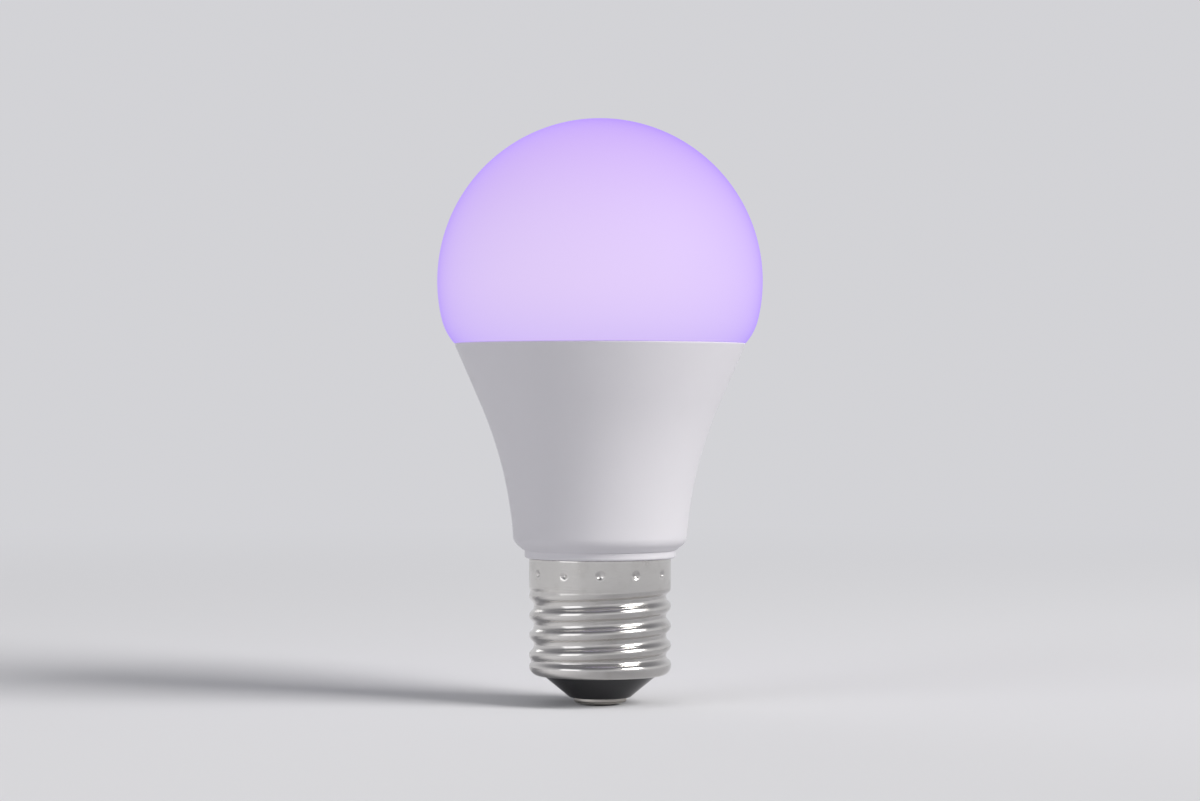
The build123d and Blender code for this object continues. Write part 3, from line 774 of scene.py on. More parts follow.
@dataclass(frozen=True)
class WoundWire(Finish):
    """Lacquered copper wire wound round an axis that runs along Y."""

    name: str = "wound_wire"
    colour: Colour = (0.72, 0.30, 0.12)
    shade: Colour = (0.45, 0.16, 0.06)

    def paint(self, graph: Graph) -> None:
        """Adds a cloud that is stretched round the winding.

        Args:
            graph: Graph of the material.
        """
        cloud = graph.noise(1.5, 3.0, (1.0, 4.0, 1.0))
        graph.surface(
            Base_Color=graph.mix(cloud, self.shade, self.colour),
            Metallic=1.0,
            Roughness=0.24 + 0.1 * cloud,
            Coat_Weight=0.5,
            Coat_Roughness=0.1,
        )


@dataclass(frozen=True)
class CoatedBoard(Finish):
    """Circuit board under solder mask, with the weave of the laminate showing faintly.

    The rings are radii of round tracks on a level board. The aerial is the half width, lowest and highest
    level of a meandering track on an upright one.
    """

    colour: Colour
    edge: Colour
    weave_mm: float = 0.6
    roughness: float = 0.3
    upright: bool = True
    rings: tuple[float, ...] = ()
    aerial: tuple[float, float, float] | None = None
    track: Colour = (0.78, 0.79, 0.79)
    ring_half_width: float = 0.9
    aerial_step: float = 1.1
    aerial_half_width: float = 0.18

    def meander(self, x: Value, z: Value) -> Value:
        """Draws the aerial as a mask.

        It has level runs at even steps, and upright runs between them at either side in turn, found from
        the remainder of the level over two steps.

        Args:
            x: Place across.
            z: Height.

        Returns:
            1 on the track and 0 elsewhere.
        """
        half, low, high = self.aerial
        width = self.aerial_half_width
        share = width / self.aerial_step
        run = ((z - low) / self.aerial_step).maths("FRACT")
        level = run.within(-share, share, 0.02).either(run.within(1.0 - share, 1.0 + share, 0.02))
        second = ((z - low) / (2.0 * self.aerial_step)).maths("FRACT").rises(0.495, 0.505)
        upright = (x * (2.0 * second - 1.0)).within(half - 2.0 * width, half, 0.01)
        inside = z.within(low - width, high + width, 0.01) * abs(x).within(-1.0, half, 0.01)
        return level.either(upright) * inside

    def paint(self, graph: Graph) -> None:
        """Adds the weave, the cut edge and the tracks.

        Args:
            graph: Graph of the material.
        """
        x, y, z = graph.place()
        turn = TAU / self.weave_mm
        weave = 0.25 * ((x * turn).maths("SINE") + ((z if self.upright else y) * turn).maths("SINE")) + 0.5
        face = abs(graph.normal()[1 if self.upright else 2]).rises(0.4, 0.6)
        cloud = graph.noise(3.0, 3.0)
        tone = graph.mottled(cloud, self.colour, 0.86)
        height = weave + 0.4 * cloud
        tracks = [self.meander(x, z)] if self.aerial else []
        half = self.ring_half_width
        tracks += [distance(x, y).within(ring - half, ring + half, 0.05) for ring in self.rings]
        for track in tracks:
            tone = graph.mix(track, tone, self.track)
            height = height + 4.0 * track
        graph.surface(
            Base_Color=graph.mix(face, self.edge, tone),
            Roughness=self.roughness + 0.3 * (1.0 - face) + 0.05 * cloud,
            Coat_Weight=0.3,
            Coat_Roughness=0.2,
            Normal=graph.bump(height, 0.004),
        )


@dataclass(frozen=True)
class EmitterPackage(Finish):
    """Light emitter: a white moulded frame round a window that is filled with resin."""

    window: Colour
    window_top: float
    frame: Colour = (0.88, 0.88, 0.86)

    def paint(self, graph: Graph) -> None:
        """Fills the faces that look up from below the window's top.

        Args:
            graph: Graph of the material.
        """
        _, _, height = graph.place()
        _, _, up = graph.normal()
        filled = up.rises(0.4, 0.6) * (1.0 - height.rises(self.window_top - 0.02, self.window_top))
        cloud = graph.noise(0.6, 3.0)
        graph.surface(
            Base_Color=graph.mix(filled, self.frame, graph.mottled(cloud, self.window, 0.85)),
            Roughness=0.45 - 0.25 * filled + 0.05 * cloud,
            Coat_Weight=filled,
            Coat_Roughness=0.08,
            Normal=graph.bump(cloud, 0.01),
        )


@dataclass(frozen=True)
class CanSleeve(Finish):
    """Shrunk sleeve on an upright can, with a pale stripe between two angles.

    The metal is bare inside bare_radius on top, and under the base, where the leads are.
    """

    axis: tuple[float, float]
    base: float
    top: float
    bare_radius: float = 3.2
    stripe_span: tuple[float, float] = (0.5, 1.1)
    sleeve: Colour = (0.02, 0.03, 0.07)
    dust: Colour = (0.1, 0.11, 0.14)
    stripe: Colour = (0.55, 0.57, 0.6)
    metal: Colour = (0.78, 0.79, 0.8)

    def paint(self, graph: Graph) -> None:
        """Adds the stripe, the dust and the bare metal.

        Args:
            graph: Graph of the material.
        """
        x, y, height = graph.place()
        across = x - self.axis[0]
        forward = y - self.axis[1]
        bare = height.rises(self.top - 0.6, self.top - 0.4)
        bare = bare * (1.0 - distance(across, forward).rises(self.bare_radius - 0.1, self.bare_radius))
        bare = bare.either(1.0 - height.rises(self.base - 0.04, self.base - 0.01))
        stripe = across.maths("ARCTAN2", forward).within(*self.stripe_span, 0.03)
        cloud = graph.noise(1.2, 3.0)
        tone = graph.mix(cloud * 0.15, graph.mix(stripe, self.sleeve, self.stripe), self.dust)
        graph.surface(
            Base_Color=graph.mix(bare, tone, self.metal),
            Metallic=bare,
            Roughness=0.24 + 0.1 * cloud + 0.06 * bare,
            Normal=graph.bump(cloud, 0.012),
        )


@dataclass(frozen=True)
class PackageEpoxy(Finish):
    """Black moulding compound, with a dimple at X and Z and tinned legs half_width from the middle."""

    middle: float
    half_width: float
    dimple: tuple[float, float]
    epoxy: Colour = (0.022, 0.022, 0.025)
    worn: Colour = (0.035, 0.035, 0.038)
    tin: Colour = (0.72, 0.73, 0.74)

    def paint(self, graph: Graph) -> None:
        """Adds the grain, the dimple and the bare legs.

        Args:
            graph: Graph of the material.
        """
        x, _, z = graph.place()
        legs = abs(x - self.middle).rises(self.half_width + 0.01, self.half_width + 0.03)
        grain = graph.noise(0.12, 3.0)
        dimple = 1.0 - distance(x - self.dimple[0], z - self.dimple[1]).rises(0.28, 0.36)
        graph.surface(
            Base_Color=graph.mix(legs, graph.mix(grain, self.epoxy, self.worn), self.tin),
            Metallic=legs,
            Roughness=0.5 - 0.24 * legs - 0.2 * dimple + 0.1 * grain,
            Normal=graph.bump(grain - 12.0 * dimple, 0.01),
        )


@dataclass(frozen=True)
class BandedLacquer(Finish):
    """Lacquered resistor with colour bands round it, each as its height and its colour."""

    bands: tuple[tuple[float, Colour], ...]
    width: float = 0.55
    body: Colour = (0.17, 0.36, 0.23)

    def paint(self, graph: Graph) -> None:
        """Adds the bands over a slightly uneven body.

        Args:
            graph: Graph of the material.
        """
        _, _, height = graph.place()
        swell = graph.noise(0.9)
        tone = graph.mottled(swell, self.body, 0.85)
        half = self.width / 2
        for middle, colour in self.bands:
            tone = graph.mix(height.within(middle - half, middle + half, 0.04), tone, colour)
        graph.surface(
            Base_Color=tone,
            Roughness=0.3 + 0.06 * swell,
            Coat_Weight=0.4,
            Coat_Roughness=0.1,
            Normal=graph.bump(swell, 0.02),
        )


# The lamp


@dataclass(frozen=True)
class Outline:
    """The outline that the cover and the housing share, and the snap ridge between them."""

    overall_length: float = 108.0
    globe_radius: float = 30.0
    turn_drop: float = 7.0
    rim_height: float = 66.6
    rim_radius: float = 26.9
    flare_height: float = 11.0
    flare_lean: float = 6.85
    foot_radius: float = 15.95
    foot_height: float = 30.0
    snap_height: float = 64.0
    snap_reach: float = 0.4

    @property
    def centre(self) -> float:
        """Height of the globe's centre."""
        return self.overall_length - self.globe_radius

    def shoulder(self) -> tuple[np.ndarray, float]:
        """Finds the smaller arc between the globe and the rim.

        It touches the globe turn_drop below the centre, so its centre is on the line from the globe's
        centre through that point, as far along it as takes the arc to the rim.

        Returns:
            The arc's centre and its radius.
        """
        sine = self.turn_drop / self.globe_radius
        along = np.array([math.sqrt(1.0 - sine**2), -sine])
        rim = np.array([self.rim_radius, self.rim_height - self.centre])
        reach = (self.globe_radius**2 - rim @ rim) / (2.0 * (self.globe_radius - rim @ along))
        return np.array([0.0, self.centre]) + along * reach, self.globe_radius - reach

    def cover_line(self, inset: float, low: float, steps: int) -> np.ndarray:
        """Draws the cover from its top to a height: an arc about the globe's centre, then the shoulder.

        Args:
            inset: Distance under the outer face.
            low: Height where the line ends.
            steps: Number of steps on the globe's arc.

        Returns:
            Points as (radius, height) rows, without the one on the axis.
        """
        (middle_x, middle_z), radius = self.shoulder()
        turn = QUARTER + math.asin(self.turn_drop / self.globe_radius)
        last = math.acos((low - middle_z) / (radius - inset))
        parts = []
        for x, z, r, start, end, count in (
            (0.0, self.centre, self.globe_radius - inset, 0.0, turn, steps),
            (middle_x, middle_z, radius - inset, turn, last, max(steps // 6, 6)),
        ):
            t = np.linspace(start, end, count + 1)[1:]
            parts.append(np.stack([x + r * np.sin(t), z + r * np.cos(t)], axis=1))
        return np.vstack(parts)

    def flare_line(self, inset: float, high: float, low: float, steps: int) -> np.ndarray:
        """Draws the flare between two heights, a cone over an arc tangent to it that reaches the foot.

        Args:
            inset: Distance under the outer face.
            high: Height where the line starts.
            low: Height where it ends.
            steps: Number of steps.

        Returns:
            Points as (radius, height) rows.
        """
        height = np.linspace(high, low, steps + 1)
        rise = self.rim_height - self.foot_height
        lean = math.atan2(self.rim_radius - self.foot_radius, rise) + math.radians(self.flare_lean)
        slope = math.tan(lean)
        turn = np.array([self.rim_radius - self.flare_height * slope, self.rim_height - self.flare_height])
        normal = np.array([math.cos(lean), -math.sin(lean)])
        chord = np.array([self.foot_radius, self.foot_height]) - turn
        arc = (chord @ chord) / (2.0 * (chord @ normal))
        middle = turn + normal * arc
        turn = turn - normal * inset
        cone = turn[0] + (height - turn[1]) * slope
        bend = middle[0] - np.sqrt(np.maximum((arc + inset) ** 2 - (height - middle[1]) ** 2, 0.0))
        return np.stack([np.where(height >= turn[1], cone, bend), height], axis=1)

    def snap(self, radius: float) -> list[list[float]]:
        """Draws the V of the snap ridge on an upright wall, from its lower end to its upper one."""
        rows = ((0.0, -1.0), (1.0, 0.0), (0.0, 1.0))
        return [[radius + self.snap_reach * x, self.snap_height + self.snap_reach * z] for x, z in rows]


@dataclass
class Cover:
    """The opal cover: one blown wall with a flange, a short skirt and its snap ridge."""

    outline: Outline = field(default_factory=Outline)
    wall: float = 1.5
    flange: float = 1.5
    skirt_radius: float = 23.7
    skirt_wall: float = 1.3
    skirt_end: float = 62.7
    columns: int = 256

    def build(self) -> None:
        """Builds the cover as one closed wall between its outer and its inner face."""
        rim = self.outline.rim_height
        floor = rim + self.flange
        outside = self.skirt_radius
        inside = self.skirt_radius - self.skirt_wall
        outer = self.outline.cover_line(0.0, rim, 96)
        inner = self.outline.cover_line(self.wall, floor, 72)[::-1]
        rows = np.vstack(
            [
                cornered(outer[:-1]),
                cornered(outer[-1:], Corner.EASED),
                cornered([[outside, rim], *self.outline.snap(outside)[::-1]], Corner.CRISP),
                cornered([[outside, self.skirt_end], [inside, self.skirt_end]], Corner.EASED),
                cornered([[inside, floor], inner[0]], Corner.SOFT),
                cornered(inner[1:]),
            ]
        )
        wall = turned(section(rows, 0.9, closed=False), self.columns)
        Shape("opal_cover").add(wall).finish(OpalCover(), "diffuser", "globe")


@dataclass(frozen=True)
class Crimp:
    """The dents that fix the shell to the neck, evenly round the cap's skirt."""

    count: int = 12
    size: float = 0.75
    depth: float = 0.42
    level: float = 24.2

    def dents(self, radius: np.ndarray, angle: np.ndarray, height: np.ndarray) -> np.ndarray:
        """Gives the dents' depth.

        It is (1 - (d / s)^2)^2 of the full one at a distance d from the middle of a dent of radius s.

        Args:
            radius: Radii.
            angle: Angles round the axis.
            height: Heights.

        Returns:
            Depths, which are nothing outside the dents.
        """
        pitch = TAU / self.count
        across = (np.mod(angle / pitch + 0.5, 1.0) - 0.5) * pitch * radius
        share = (across**2 + (height - self.level) ** 2) / self.size**2
        return self.depth * np.clip(1.0 - share, 0.0, None) ** 2


@dataclass
class Housing:
    """The moulded housing: rim with its mouth, flare, foot, collar, and the neck inside the cap."""

    outline: Outline = field(default_factory=Outline)
    wall: float = 1.6
    floor_height: float = 30.0
    mouth_radius: float = 23.8
    mouth_floor: float = 62.6
    glue_inner: float = 24.6
    glue_outer: float = 25.8
    glue_depth: float = 0.8
    foot_edge_radius: float = 14.2
    foot_edge_height: float = 28.5
    foot_round: float = 2.4
    collar_radius: float = 13.9
    cap_height: float = 27.0
    neck_upper: float = 12.7
    neck_lower: float = 11.8
    neck_bore: float = 10.6
    neck_turn_high: float = 21.6
    neck_turn_low: float = 20.5855
    neck_end: float = 14.0
    groove_width: float = 1.3
    groove_depth: float = 0.85
    groove_top: float = 20.0
    rail_size: Place = (2.2, 1.2, 15.0)
    rail_place: Place = (10.1, 1.3, 22.5)
    rail_edge: float = 0.15
    columns: int = 240

    def profile(self) -> np.ndarray:
        """Draws the wall's section, from the rim down the outside and back up the inside.

        The flare's points nearest to the foot are left out, to make room for the foot's arc.

        Returns:
            Points as (radius, height) rows.
        """
        rim = self.outline.rim_height
        outer = self.outline.flare_line(0.0, rim, self.outline.foot_height, 52)
        outer = outer[:-1][np.linalg.norm(outer[:-1] - outer[-1], axis=1) > 0.75 * self.foot_round]
        inner = self.outline.flare_line(self.wall, self.floor_height, self.mouth_floor, 40)
        neck = [
            (self.outline.foot_radius, self.outline.foot_height, self.foot_round),
            (self.foot_edge_radius, self.foot_edge_height, 0.3),
            (self.collar_radius, self.foot_edge_height, 0.12),
            (self.collar_radius, self.cap_height, 0.4),
            (self.neck_upper, self.cap_height, 0.1),
            (self.neck_upper, self.neck_turn_high, 0.2),
            (self.neck_lower, self.neck_turn_low, 0.2),
            (self.neck_lower, self.neck_end, 0.3),
            (self.neck_bore, self.neck_end, 0.3),
            (self.neck_bore, self.floor_height, 0.4),
        ]
        glue_floor = rim - self.glue_depth
        mouth = [
            *self.outline.snap(self.mouth_radius),
            [self.mouth_radius, rim],
            [self.glue_inner, rim],
            [self.glue_inner, glue_floor],
            [self.glue_outer, glue_floor],
            [self.glue_outer, rim],
        ]
        rows = np.vstack(
            [
                cornered(outer[:1], Corner.EASED),
                cornered(outer[1:]),
                neck,
                cornered(inner[:1], 0.8),
                cornered(inner[1:-1]),
                cornered([inner[-1], [self.mouth_radius, self.mouth_floor]], 0.2),
                cornered(mouth, Corner.CRISP),
            ]
        )
        return section(rows, 0.8, steps=7)

    def walls(self) -> np.ndarray:
        """Turns the section and presses the lead's groove and the crimp's dents into the neck.

        The groove's depth is its full depth times a smooth window across the angle and one along the
        height.

        Returns:
            The grid of points.
        """
        grid = turned(self.profile(), self.columns)
        radius, angle, height = polar(grid)
        across = np.abs(np.arctan2(np.sin(angle - math.pi), np.cos(angle - math.pi))) * self.neck_lower
        window = below(self.groove_width / 2, 0.15, across) * below(self.groove_top, 0.2, height)
        outside = (radius > self.neck_bore + 0.6) & (height < self.groove_top + 0.3)
        neck = (np.abs(radius - self.neck_upper) < 0.02) & (height < self.cap_height - 0.3)
        depth = np.where(outside, self.groove_depth * window, 0.0)
        return sunk(grid, depth + np.where(neck, Crimp().dents(radius, angle, height), 0.0))

    def build(self) -> None:
        """Builds the housing with the four rails that hold the driver board."""
        shape = Shape("moulded_housing").add(self.walls(), loop=True)
        rail = block(self.rail_size, self.rail_edge, self.rail_edge)
        x, y, z = self.rail_place
        for side in BOTH_SIDES:
            for face in BOTH_SIDES:
                shape.add(placed(rail, (side * x, face * y, z)))
        plastic = MouldedPlastic("housing_plastic", (0.80, 0.785, 0.82), 0.48, 0.3, 0.007, 0.03)
        shape.finish(plastic, "housing_plastic", "housing")


@dataclass
class ScrewCap:
    """The cap: the rolled shell with its round thread, the insulator and the riveted contact."""

    cap_height: float = 27.0
    major: float = 13.1
    minor: float = 12.2
    pitch: float = 3.629
    sheet: float = 0.3
    top_edge: float = 0.12
    thread_top: float = 21.6
    bend_height: float = 7.084
    bend: float = 1.7
    shell_end: float = 5.384
    lip_radius: float = 10.6
    lip_edge: float = 0.1
    contact_radius: float = 4.9
    contact_flat: float = 3.0
    contact_edge: float = 0.7
    contact_thickness: float = 1.3
    stem_radius: float = 1.5
    stem_top: float = 8.684
    stem_bore: float = 0.5
    stem_floor: float = 6.684
    insulator_nose: float = 5.6
    insulator_radius: float = 10.5
    flange_radius: float = 11.3
    insulator_top: float = 7.684
    stem_hole: float = 1.6
    columns: int = 320

    def thread(self, angle: np.ndarray, height: np.ndarray) -> np.ndarray:
        """Gives how far the thread's surface lies under its crests.

        The share of a turn is s = z / pitch - angle / (2 pi), less its nearest whole number. The section
        is a crest arc where |s| is below a quarter and a root arc in the rest, both of radius (q^2 + h^2)
        / 2h, with q a quarter of the pitch and h half the depth. Both ends of the thread run out in a
        smooth step.

        Args:
            angle: Angles round the axis.
            height: Heights.

        Returns:
            Depths in millimetres.
        """
        depth = self.major - self.minor
        quarter = self.pitch / 4.0
        arc = (quarter**2 + (depth / 2.0) ** 2) / depth
        share = height / self.pitch - angle / TAU
        share = np.abs(share - np.round(share)) * self.pitch
        crest = arc - np.sqrt(np.maximum(arc**2 - share**2, 0.0))
        root = arc - np.sqrt(np.maximum(arc**2 - (2.0 * quarter - share) ** 2, 0.0))
        under = np.where(share < quarter, crest, depth - root)
        fade = smooth(self.thread_top, self.thread_top - 1.5, height)
        return under * fade * smooth(self.bend_height, self.bend_height + 1.6, height)

    def sheet_face(self, inset: float) -> np.ndarray:
        """Draws one face of the sheet, down its wall, round the bend and along the lip.

        Args:
            inset: Distance under the outer face.

        Returns:
            Points as (radius, height) rows.
        """
        upright = np.arange(self.cap_height - self.top_edge, self.bend_height, -0.23)
        t = np.linspace(0.0, QUARTER, 9)
        r = self.bend - inset
        wall = np.stack([np.full_like(upright, self.major - inset), upright], axis=1)
        curve = np.stack([self.major - self.bend + r * np.cos(t), self.bend_height - r * np.sin(t)], axis=1)
        lip = [[self.lip_radius + reach * self.lip_edge, self.shell_end + inset] for reach in (3.0, 1.0)]
        return np.vstack([wall, curve, lip])

    def shell_grid(self) -> np.ndarray:
        """Makes the shell, with the thread and the dents in both faces and half ellipses for edges.

        Returns:
            The grid of points, whose last row is joined to the first.
        """
        half = self.sheet / 2.0
        t = np.linspace(0.0, math.pi, 7)[1:-1]
        short = 1.0 - np.sin(t)
        lip_end = [self.lip_radius + self.lip_edge * short, self.shell_end + half * (1.0 - np.cos(t))]
        top_end = [self.major - half * (1.0 + np.cos(t)), self.cap_height - self.top_edge * short]
        faces = [self.sheet_face(0.0), np.transpose(lip_end), self.sheet_face(self.sheet)[::-1]]
        grid = turned(np.vstack([*faces, np.transpose(top_end)]), self.columns)
        radius, angle, height = polar(grid)
        wall = radius > self.major - self.sheet - 0.001
        depth = np.where(wall & (height > self.bend_height), self.thread(angle, height), 0.0)
        return sunk(grid, depth + np.where(wall, Crimp().dents(radius, angle, height), 0.0))

    def insulator(self) -> np.ndarray:
        """Draws the insulator's section, with a step round the contact and a flange behind the lip.

        Returns:
            Points as (radius, height) rows.
        """
        rows = [
            (self.stem_hole, self.contact_thickness, 0.1),
            (self.insulator_nose, self.contact_thickness, 0.5),
            (self.insulator_radius, self.shell_end - 0.05, 0.25),
            (self.insulator_radius, self.shell_end + self.sheet, 0.05),
            (self.flange_radius, self.shell_end + self.sheet, 0.15),
            (self.flange_radius, self.bend_height, 0.2),
            (self.flange_radius - 1.0, self.insulator_top, 0.2),
            (self.stem_hole, self.insulator_top, 0.1),
        ]
        return section(rows, 0.7)

    def contact(self) -> np.ndarray:
        """Draws the contact's section from the axis: a button with a dimple, and its hollow stem.

        Returns:
            Points as (radius, height) rows.
        """
        rows = [
            (0.35, 0.28, 0.0),
            (0.9, 0.2, 0.5),
            (1.3, 0.0, 0.4),
            (self.contact_flat, 0.0, 1.0),
            (self.contact_radius - 0.25, self.contact_edge - 0.25, 0.4),
            (self.contact_radius, self.contact_edge, 0.3),
            (self.contact_radius, self.contact_thickness, 0.12),
            (self.stem_radius, self.contact_thickness, 0.1),
            (self.stem_radius, self.stem_top, 0.15),
            (self.stem_bore, self.stem_top, 0.1),
            (self.stem_bore, self.stem_floor, 0.1),
            (0.2, self.stem_floor, 0.0),
        ]
        return section(rows, 0.5, closed=False)

    def build(self) -> None:
        """Builds the shell, the insulator and the contact."""
        plate, tarnish = (0.70, 0.685, 0.66), (0.46, 0.44, 0.41)
        nickel = WorkedMetal("nickel_plate", plate, tarnish, 0.16, Grain.AROUND, 0.35, 0.003)
        Shape("rolled_shell").add(self.shell_grid(), loop=True).finish(nickel, "cap_metal", "screw_shell")
        black = MouldedPlastic("insulator_black", (0.018, 0.018, 0.02), 0.17, 0.9, 0.003, 0.2)
        plug = Shape("insulator_plug").add(turned(self.insulator(), 128), loop=True)
        plug.finish(black, "insulator", "cap_insulator")
        plate, tarnish = (0.74, 0.71, 0.66), (0.48, 0.42, 0.34)
        worn = WorkedMetal("contact_plate", plate, tarnish, 0.3, Grain.NONE, 0.5, 0.004)
        button = Shape("contact_button").add(turned(self.contact(), 96))
        button.finish(worn, "contact_metal", "centre_contact")


@dataclass
class BoardScrews:
    """Three pan-head screws with a cross recess, which hold the light board to the heat sink."""

    circle: float = 17.5
    start_angle: float = 15.0
    count: int = 3
    seat: float = 63.9
    head_radius: float = 2.0
    head_height: float = 1.4
    shank_radius: float = 1.1
    length: float = 4.8
    recess_depth: float = 0.8
    recess_width: float = 0.6
    thread_pitch: float = 0.8
    thread_depth: float = 0.18

    def screw(self) -> np.ndarray:
        """Makes one screw about its own axis, with its seat at zero.

        The thread takes a sine of the height less the share of a turn off the shank. The head drops by the
        recess depth inside either arm of a cross, each arm a product of two smooth windows.

        Returns:
            The grid of points.
        """
        top = self.head_height
        rows = [
            (0.1, -self.length, 0.0),
            (0.4, -self.length, 0.15),
            (self.shank_radius, -self.length + 0.9, 0.3),
            (self.shank_radius, 0.0, 0.1),
            (self.head_radius, 0.0, 0.15),
            (self.head_radius, 0.55 * top, 0.5),
            (0.72 * self.head_radius, top, 0.8),
            (0.05, top, 0.0),
        ]
        grid = turned(section(rows, 0.1, closed=False), 64)
        radius, angle, z = polar(grid)
        wave = 0.5 - 0.5 * np.cos(TAU * z / self.thread_pitch - angle)
        thread = self.thread_depth * wave * smooth(-0.05, -0.4, z)
        thread = thread * smooth(-self.length + 0.2, -self.length + 0.9, z)
        x, y = np.abs(grid[..., 0]), np.abs(grid[..., 1])
        half = self.recess_width / 2
        arm_x = below(half, 0.06, y) * below(self.shank_radius, 0.1, x)
        arm_y = below(half, 0.06, x) * below(self.shank_radius, 0.1, y)
        drop = self.recess_depth * np.maximum(arm_x, arm_y) * (z > 0.7 * top)
        return sunk(grid, np.where(radius > 0.5, thread, 0.0), drop)

    def build(self) -> None:
        """Builds the three screws as one piece."""
        shape = Shape("pan_screws")
        for number in range(self.count):
            angle = math.radians(self.start_angle) + number * TAU / self.count
            place = (self.circle * math.cos(angle), self.circle * math.sin(angle), self.seat)
            shape.add(placed(self.screw(), place))
        zinc = WorkedMetal("zinc_screw", (0.68, 0.69, 0.72), (0.5, 0.5, 0.5), 0.3, Grain.NONE, 0.3, 0.003)
        shape.finish(zinc, "zinc_screw", "board_screws")


@dataclass
class PinRow:
    """Four square pins with eased ends, from the driver board up through the light board."""

    pitch: float = 2.54
    count: int = 4
    side: float = 0.64
    middle_y: float = 0.92
    low: float = 53.0
    high: float = 67.2

    def build(self) -> None:
        """Builds the pins as one piece."""
        shape = Shape("square_pins")
        pin = block((self.side, self.side, self.high - self.low), 0.06, 0.13)
        for number in range(self.count):
            x = (number - (self.count - 1) / 2) * self.pitch
            shape.add(placed(pin, (x, self.middle_y, (self.low + self.high) / 2)))
        gold = WorkedMetal("gold_pins", (0.86, 0.66, 0.32), (0.62, 0.45, 0.2), 0.22, Grain.ALONG, 0.2)
        shape.finish(gold, "gold_pins", "connector_pins")


@dataclass
class SealBead:
    """Silicone bead in the housing's rim, with a rounded top and a slight swell along it."""

    inner: float = 24.65
    outer: float = 25.75
    low: float = 65.85
    high: float = 66.55

    def build(self) -> None:
        """Builds the bead; its height swells by a sum of two sines of the angle."""
        rows = [
            (self.inner, self.low, 0.12),
            (self.outer, self.low, 0.12),
            (self.outer, self.high, 0.3),
            (self.inner, self.high, 0.3),
        ]
        grid = turned(rounded(np.array(rows)), 192)
        _, turn, height = polar(grid)
        swell = 0.02 * (np.sin(7.0 * turn) + np.sin(19.0 * turn + 1.0)) - 0.04
        grid[..., 2] += swell * smooth(self.low + 0.2, self.high, height)
        silicone = SoftCompound("silicone_bead", (0.84, 0.84, 0.81), 0.4, 1.6, 0.04)
        Shape("silicone_bead").add(grid, loop=True).finish(silicone, "silicone", "globe_seal")


@dataclass
class LightBoard:
    """The light board with its emitters, screws, connector, thermal pad and heat sink."""

    white_count: int = 12
    colour_count: int = 6
    ring_tracks: tuple[float, float] = (11.0, 17.5)
    white_top: float = 64.6
    colour_top: float = 64.8

    def build(self) -> None:
        """Dresses the board and what stands on and under it."""
        pale = (0.86, 0.87, 0.87)
        edge = (0.62, 0.63, 0.65)
        dress(CoatedBoard("light_board_mask", pale, edge, 0.8, 0.32, False, self.ring_tracks), "led_board")
        phosphor = EmitterPackage("white_emitter", (0.93, 0.74, 0.22), self.white_top)
        dress(phosphor, *(f"white_led_{n + 1}" for n in range(self.white_count)))
        clear = EmitterPackage("colour_emitter", (0.70, 0.70, 0.76), self.colour_top)
        dress(clear, *(f"colour_led_{n + 1}" for n in range(self.colour_count)))
        BoardScrews().build()
        dress(MouldedPlastic("white_nylon", (0.84, 0.83, 0.78), 0.42, 0.2, 0.006), "connector_block")
        PinRow().build()
        dress(SoftCompound("thermal_pad", (0.50, 0.53, 0.58), 0.7, 0.8, 0.015), "thermal_pad")
        SealBead().build()
        bright, dull = (0.82, 0.83, 0.85), (0.62, 0.63, 0.65)
        sheet = WorkedMetal("drawn_aluminium", bright, dull, 0.34, Grain.ALONG, 0.25, 0.006, 0.5)
        dress(sheet, "heat_sink_cup")


@dataclass
class Capacitor:
    """Can capacitor that stands beside the driver board, with both leads bent over to the board."""

    name: str
    node: str
    x: float
    base: float
    length: float
    radius: float = 4.0
    axis_y: float = 4.8
    board_face: float = 0.6
    crimp_height: float = 1.6
    crimp_depth: float = 0.3
    crimp_reach: float = 0.6
    lead_radius: float = 0.3
    lead_gap: float = 1.75
    lead_drop: float = 1.2

    def can(self) -> np.ndarray:
        """Makes the sleeved can about its own axis, with its base at zero.

        The crimp is a cosine dip in the wall. The top has a rolled rim and a lower disc, scored with a
        cross.

        Returns:
            The grid of points.
        """
        top = self.length
        rows = [
            (0.1, 0.15, 0.0),
            (self.radius - 0.9, 0.15, 0.1),
            (self.radius - 0.5, 0.0, 0.1),
            (self.radius, 0.0, 0.3),
            (self.radius, top, 0.5),
            (self.radius - 0.8, top, 0.25),
            (self.radius - 1.0, top - 0.25, 0.15),
            (0.05, top - 0.25, 0.0),
        ]
        grid = turned(section(rows, 0.16, closed=False), 96)
        radius, _, z = polar(grid)
        dip = np.clip(1.0 - np.abs(z - self.crimp_height) / self.crimp_reach, 0.0, 1.0)
        dip = self.crimp_depth * (0.5 - 0.5 * np.cos(math.pi * dip)) * (radius > self.radius - 0.2)
        score = np.abs(grid[..., :2]).min(axis=-1)
        score = 0.12 * below(0.11, 0.05, score) * below(2.35, 0.15, radius) * (z > top - 0.5)
        return sunk(grid, dip, score)

    def lead(self, side: float) -> np.ndarray:
        """Makes one lead as a round tube that turns from the can's base to the board.

        Args:
            side: -1 for the lead on the left and 1 for the one on the right.

        Returns:
            The grid of points.
        """
        x = self.x + side * self.lead_gap
        low = self.base - self.lead_drop
        route = [[x, self.axis_y, self.base + 0.3], [x, self.axis_y, low], [x, self.board_face, low]]
        return tube(rounded(cornered(route, 0.8), 8, closed=False), self.lead_radius, 12)

    def build(self) -> None:
        """Builds the capacitor."""
        shape = Shape(self.name).add(placed(self.can(), (self.x, self.axis_y, self.base)))
        for side in BOTH_SIDES:
            shape.add(self.lead(side))
        finish = CanSleeve(f"{self.name}_finish", (self.x, self.axis_y), self.base, self.base + self.length)
        shape.finish(finish, "dark_sleeve", self.node)


